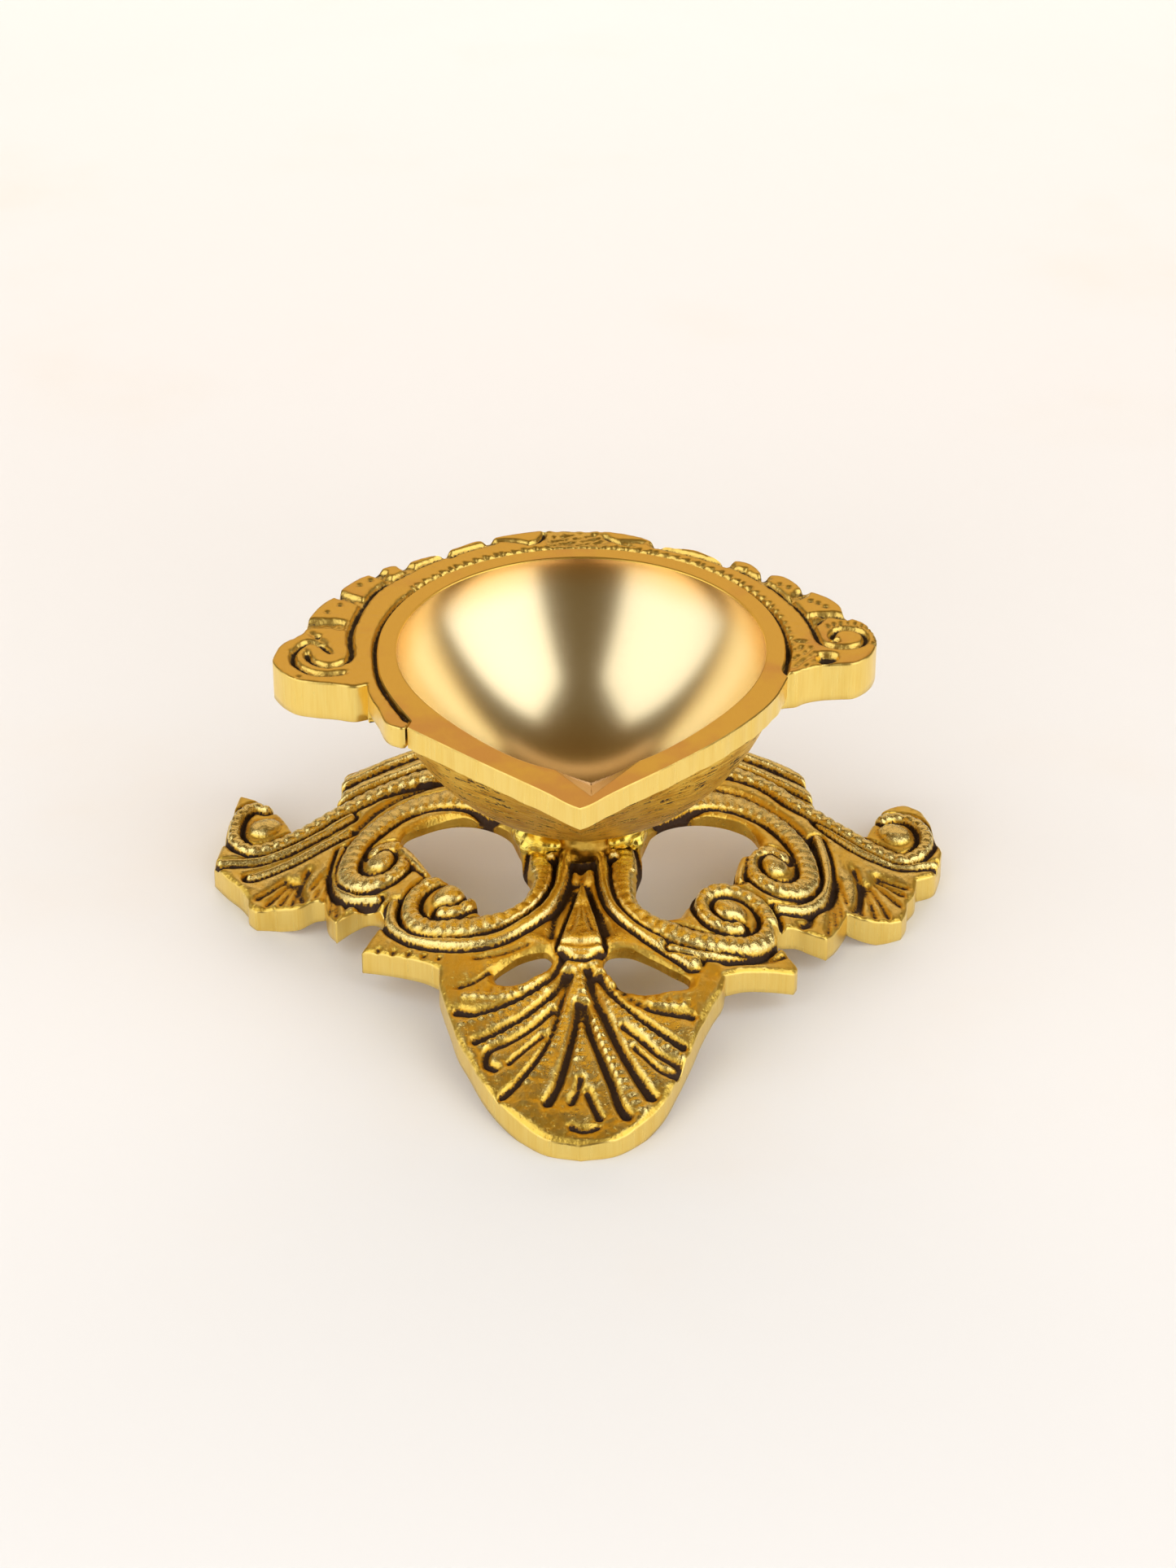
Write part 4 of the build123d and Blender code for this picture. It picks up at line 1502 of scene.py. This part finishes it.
    def crest(self) -> bpy.types.Object:
        """Makes the carved crest round the back of the rim.

        Returns:
            The piece.
        """
        self.relief = Relief((-44, -26), (43, 36), 0.11)
        self._carve_band()
        self._carve_left()
        self._carve_right()
        self._carve_back()
        self.relief.height = self.relief.blurred(self.relief.height, 0.09)
        self.relief.height = np.clip(self.relief.height, -1.6, 0.0)
        carved = np.clip(-self.relief.height / 0.25, 0, 1)
        rough = self.relief.height.copy()
        self.relief.roughen(0.5, 0.05, seed=11)
        self.relief.height = rough + (self.relief.height - rough) * (0.25 + 0.75 * carved)
        loop = self.crest_loop()
        self.relief.round_edge(loop, 0.32)
        relief = self.relief
        plate = CastPlate(
            [loop],
            lambda plan: self.rim - 0.02 + relief.read(relief.height, plan),
            self._crest_under,
            cell=0.24,
        )
        mesh = plate.build("bowl_crest")
        mesh.set_sharp_from_angle(angle=math.radians(self.crest_sharp))
        deep = relief.hollows(relief.height, (1.0, 0.9), (0.45, 0.5))
        draw_on(mesh, "hollow", relief.read(deep, plate.plan))
        draw_on(mesh, "carved", relief.read(carved, plate.plan))
        return add_piece(
            "bowl_crest",
            mesh,
            [GroundRim("ground_crest").make(), GroundEdge("ground_crest_edge").make(),
             FiledCasting("crest_underside").make()],
            "oil_bowl",
        )

    def build(self) -> None:
        """Makes the cup and the crest."""
        self.cup()
        self.crest()


@dataclass
class Neck:
    """The short turned neck between the stand and the cup."""

    sides: int = 128
    profile: Knots = (
        (7.2, 12.9), (7.3, 14.0), (7.3, 15.0), (7.1, 15.8), (7.0, 16.5), (7.1, 17.1), (7.6, 17.8),
        (8.4, 18.5), (9.0, 19.2),
    )

    def build(self) -> bpy.types.Object:
        """Makes the neck, with the slight waviness of filed brass.

        Returns:
            The piece.
        """
        line = smooth_line(self.profile, 0.12)
        turn = np.linspace(0, 2 * math.pi, self.sides, endpoint=False)
        wave = 0.10 * np.sin(3 * turn + 0.7) + 0.07 * np.sin(7 * turn + 2) + 0.04 * np.sin(17 * turn)
        rows = []
        for reach, level in line:
            fit = reach + wave * math.sin(level * 2.1)
            levels = np.full(self.sides, level)
            rows.append(np.column_stack([fit * np.cos(turn), fit * np.sin(turn), levels]))
        faces = []
        for row in range(len(rows) - 1):
            faces += joined((row + 1) * self.sides, row * self.sides, self.sides).tolist()
        last = (len(rows) - 1) * self.sides
        faces += [list(range(self.sides))[::-1], list(range(last, last + self.sides))]
        mesh = smooth_mesh("turned_neck", np.vstack(rows), faces)
        mesh.set_sharp_from_angle(angle=math.radians(60))
        finish = PlainBrass("turned_brass", (0.86, 0.56, 0.10), (0.50, 0.26, 0.03), 0.3, 0.00006)
        return add_piece("turned_neck", mesh, [finish.make()], "neck_collar")


# Middle and radius of each drop, in millimetres from the neck axis at table level.
LEFT_DROPS = (
    (-7.2, -4.0, 15.3, 2.1), (-6.4, -5.6, 15.5, 1.8), (-8.1, -2.8, 15.0, 1.6),
    (-5.0, -6.7, 15.7, 1.5), (-3.6, -7.3, 15.9, 1.0), (-7.0, -4.6, 16.8, 1.1),
    (-5.4, -6.2, 16.9, 1.0), (-7.4, -6.2, 14.9, 1.2),
)
RIGHT_DROPS = (
    (6.9, -4.1, 15.6, 1.9), (6.7, -4.8, 17.0, 1.5), (5.6, -5.9, 16.1, 1.4),
    (7.6, -3.2, 15.2, 1.5), (4.5, -6.7, 16.0, 1.0), (7.5, -5.4, 15.1, 1.1),
)


@dataclass
class BrazeBead:
    """A frozen run of braze metal at the neck's foot, in a few merged drops."""

    node: str
    drops: Sequence[tuple[float, float, float, float]]
    grain: float = 0.2
    smoothing: int = 8

    def build(self) -> bpy.types.Object:
        """Makes the bead as one skin over its drops.

        Returns:
            The piece.
        """
        made = bmesh.new()
        for x, y, z, size in self.drops:
            place = Matrix.Translation(Vector((x, y, z)) * MM)
            bmesh.ops.create_icosphere(made, subdivisions=4, radius=size * MM, matrix=place)
        rough = bpy.data.meshes.new(f"{self.node}_drops")
        made.to_mesh(rough)
        made.free()
        holder = placed(rough.name, rough)
        holder.modifiers.new("merge", "REMESH").voxel_size = self.grain * MM
        holder.modifiers.new("soften", "SMOOTH").iterations = self.smoothing
        shown = holder.evaluated_get(bpy.context.evaluated_depsgraph_get())
        mesh = bpy.data.meshes.new_from_object(shown)
        mesh.name = f"{self.node}_skin"
        bpy.data.objects.remove(holder)
        bpy.data.meshes.remove(rough)
        mesh.polygons.foreach_set("use_smooth", np.ones(len(mesh.polygons), bool))
        finish = PlainBrass(
            f"{self.node}_braze", (0.96, 0.76, 0.16), (0.84, 0.55, 0.05), depth=0.00009
        )
        return add_piece(mesh.name, mesh, [finish.make()], self.node)


@dataclass
class Studio:
    """The table top, the soft lights and the camera."""

    floor_size: float = 6.0
    wall_radius: float = 0.74
    wall_height: float = 2.5
    wall_sides: int = 96
    wall_glow: float = 0.9
    room_tint: Colour = (1.0, 0.66, 0.24)
    room_glow: float = 0.13
    distance: float = 0.550
    pitch: float = 32.0
    target: Triple = (0.0009, 0.0019, 0.020)
    lens: float = 91.65
    sensor: float = 36.0
    window_reach: float = 0.75
    window_levels: Point = (0.06, 1.70)
    left_window: Point = (-104.0, -28.0)
    right_window: Point = (28.0, 98.0)

    def floor(self) -> bpy.types.Object:
        """Lays the table top.

        Returns:
            The floor.
        """
        half = self.floor_size / 2
        mesh = bpy.data.meshes.new("table_top")
        corners = [(-half, -half, 0), (half, -half, 0), (half, half, 0), (-half, half, 0)]
        mesh.from_pydata(corners, [], [(0, 1, 2, 3)])
        mesh.materials.append(PaleFloor("pale_floor").make())
        floor = placed("table_top", mesh)
        return floor

    def backdrop(self) -> bpy.types.Object:
        """Stands a pale wall round the table, which lights nothing and shows in no reflection.

        Returns:
            The wall.
        """
        turn = np.linspace(0, 2 * math.pi, self.wall_sides, endpoint=False)
        ring = np.column_stack([np.cos(turn), np.sin(turn)]) * self.wall_radius
        points = [(x, y, level) for level in (0.0, self.wall_height) for x, y in ring.tolist()]
        mesh = bpy.data.meshes.new("backdrop")
        mesh.from_pydata(points, [], joined(self.wall_sides, 0, self.wall_sides).tolist())
        mesh.materials.append(PaleFloor("pale_wall", glow=self.wall_glow).make())
        wall = placed("backdrop", mesh)
        wall.visible_diffuse = wall.visible_glossy = wall.visible_shadow = False
        return wall

    def camera(self) -> bpy.types.Object:
        """Sets the camera, looking down at the lamp from the front.

        Returns:
            The camera.
        """
        data = bpy.data.cameras.new("camera")
        data.lens = self.lens
        data.sensor_fit = "VERTICAL"
        data.sensor_height = self.sensor
        data.clip_start = 0.01
        camera = placed("camera", data)
        down = math.radians(self.pitch)
        aim = Vector(self.target) + neck_axis()
        camera.location = aim - Vector((0, math.cos(down), -math.sin(down))) * self.distance
        camera.rotation_euler = (math.pi / 2 - down, 0, 0)
        bpy.context.scene.camera = camera
        return camera

    def lamp(
        self, name: str, place: Triple, size: Point, power: float, colour: Colour = (1, 1, 1)
    ) -> bpy.types.Object:
        """Hangs one soft light that faces the lamp.

        Args:
            name: Its name.
            place: Where it hangs, in metres.
            size: Its width and height.
            power: Its power in watts.
            colour: Its tint.

        Returns:
            The light.
        """
        data = bpy.data.lights.new(name, "AREA")
        data.shape = "RECTANGLE"
        data.size, data.size_y = size
        data.energy = power
        data.color = colour
        lamp = placed(name, data)
        lamp.location = place
        lamp.rotation_euler = (-Vector(place)).to_track_quat("-Z", "Y").to_euler()
        return lamp

    def window(self, name: str, bearings: Point, power: float) -> bpy.types.Object:
        """Stands one tall upright soft light beside the lamp.

        Args:
            name: Its name.
            bearings: Where its two sides are, in degrees from the front, positive to the right.
            power: Its power in watts.

        Returns:
            The light.
        """
        middle, half = np.radians(sum(bearings) / 2), np.radians(bearings[1] - bearings[0]) / 2
        width = 2 * self.window_reach * math.tan(half)
        low, high = self.window_levels
        x, y = self.window_reach * math.sin(middle), -self.window_reach * math.cos(middle)
        lamp = self.lamp(name, (x, y, (low + high) / 2), (width, high - low), power)
        lamp.rotation_euler = Vector((-x, -y, 0)).to_track_quat("-Z", "Y").to_euler()
        return lamp

    def light(self) -> None:
        """Hangs the lights and sets the room's own glow."""
        self.window("left_window", self.left_window, 7.4)
        self.window("right_window", self.right_window, 7.6)
        self.lamp("back_softbox", (0.0, 0.82, 0.57), (1.5, 0.75), 2.3, (1.0, 0.76, 0.52))
        for name, place, size, power, colour in (
            ("table_light", (0.0, 0.1, 1.0), (2.4, 2.4), 4.5, (0.98, 0.99, 1.0)),
            ("front_fill", (0.0, -1.0, 0.28), (1.8, 0.5), 14.0, (1.0, 0.97, 0.95)),
            ("back_fill", (0.0, 1.0, 0.28), (1.8, 0.5), 11.5, (1.0, 0.89, 0.83)),
        ):
            self.lamp(name, place, size, power, colour).visible_glossy = False
        world = bpy.data.worlds.new("room")
        world.use_nodes = True
        glow = world.node_tree.nodes["Background"]
        glow.inputs["Color"].default_value = (*self.room_tint, 1.0)
        glow.inputs["Strength"].default_value = self.room_glow
        bpy.context.scene.world = world
        bpy.context.scene.view_settings.view_transform = "Standard"


def dress_hardware() -> None:
    """Gives the hidden screw and washer a plain steel finish."""
    for node in ("washer", "fixing_screw"):
        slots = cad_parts[node].data.materials
        slots.clear()
        slots.append(PlainBrass(f"steel_{node}", (0.56, 0.55, 0.53), (0.34, 0.32, 0.30), 0.34).make())


def main() -> None:
    """Builds every piece of the lamp and the studio round it."""
    logging.basicConfig(level=logging.INFO, format="%(name)s %(message)s")
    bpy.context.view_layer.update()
    Stand().build()
    OilBowl().build()
    Neck().build()
    BrazeBead("braze_bead_left", LEFT_DROPS).build()
    BrazeBead("braze_bead_right", RIGHT_DROPS).build()
    dress_hardware()
    studio = Studio()
    studio.floor()
    studio.backdrop()
    studio.camera()
    studio.light()


if __name__ == "__main__":
    main()
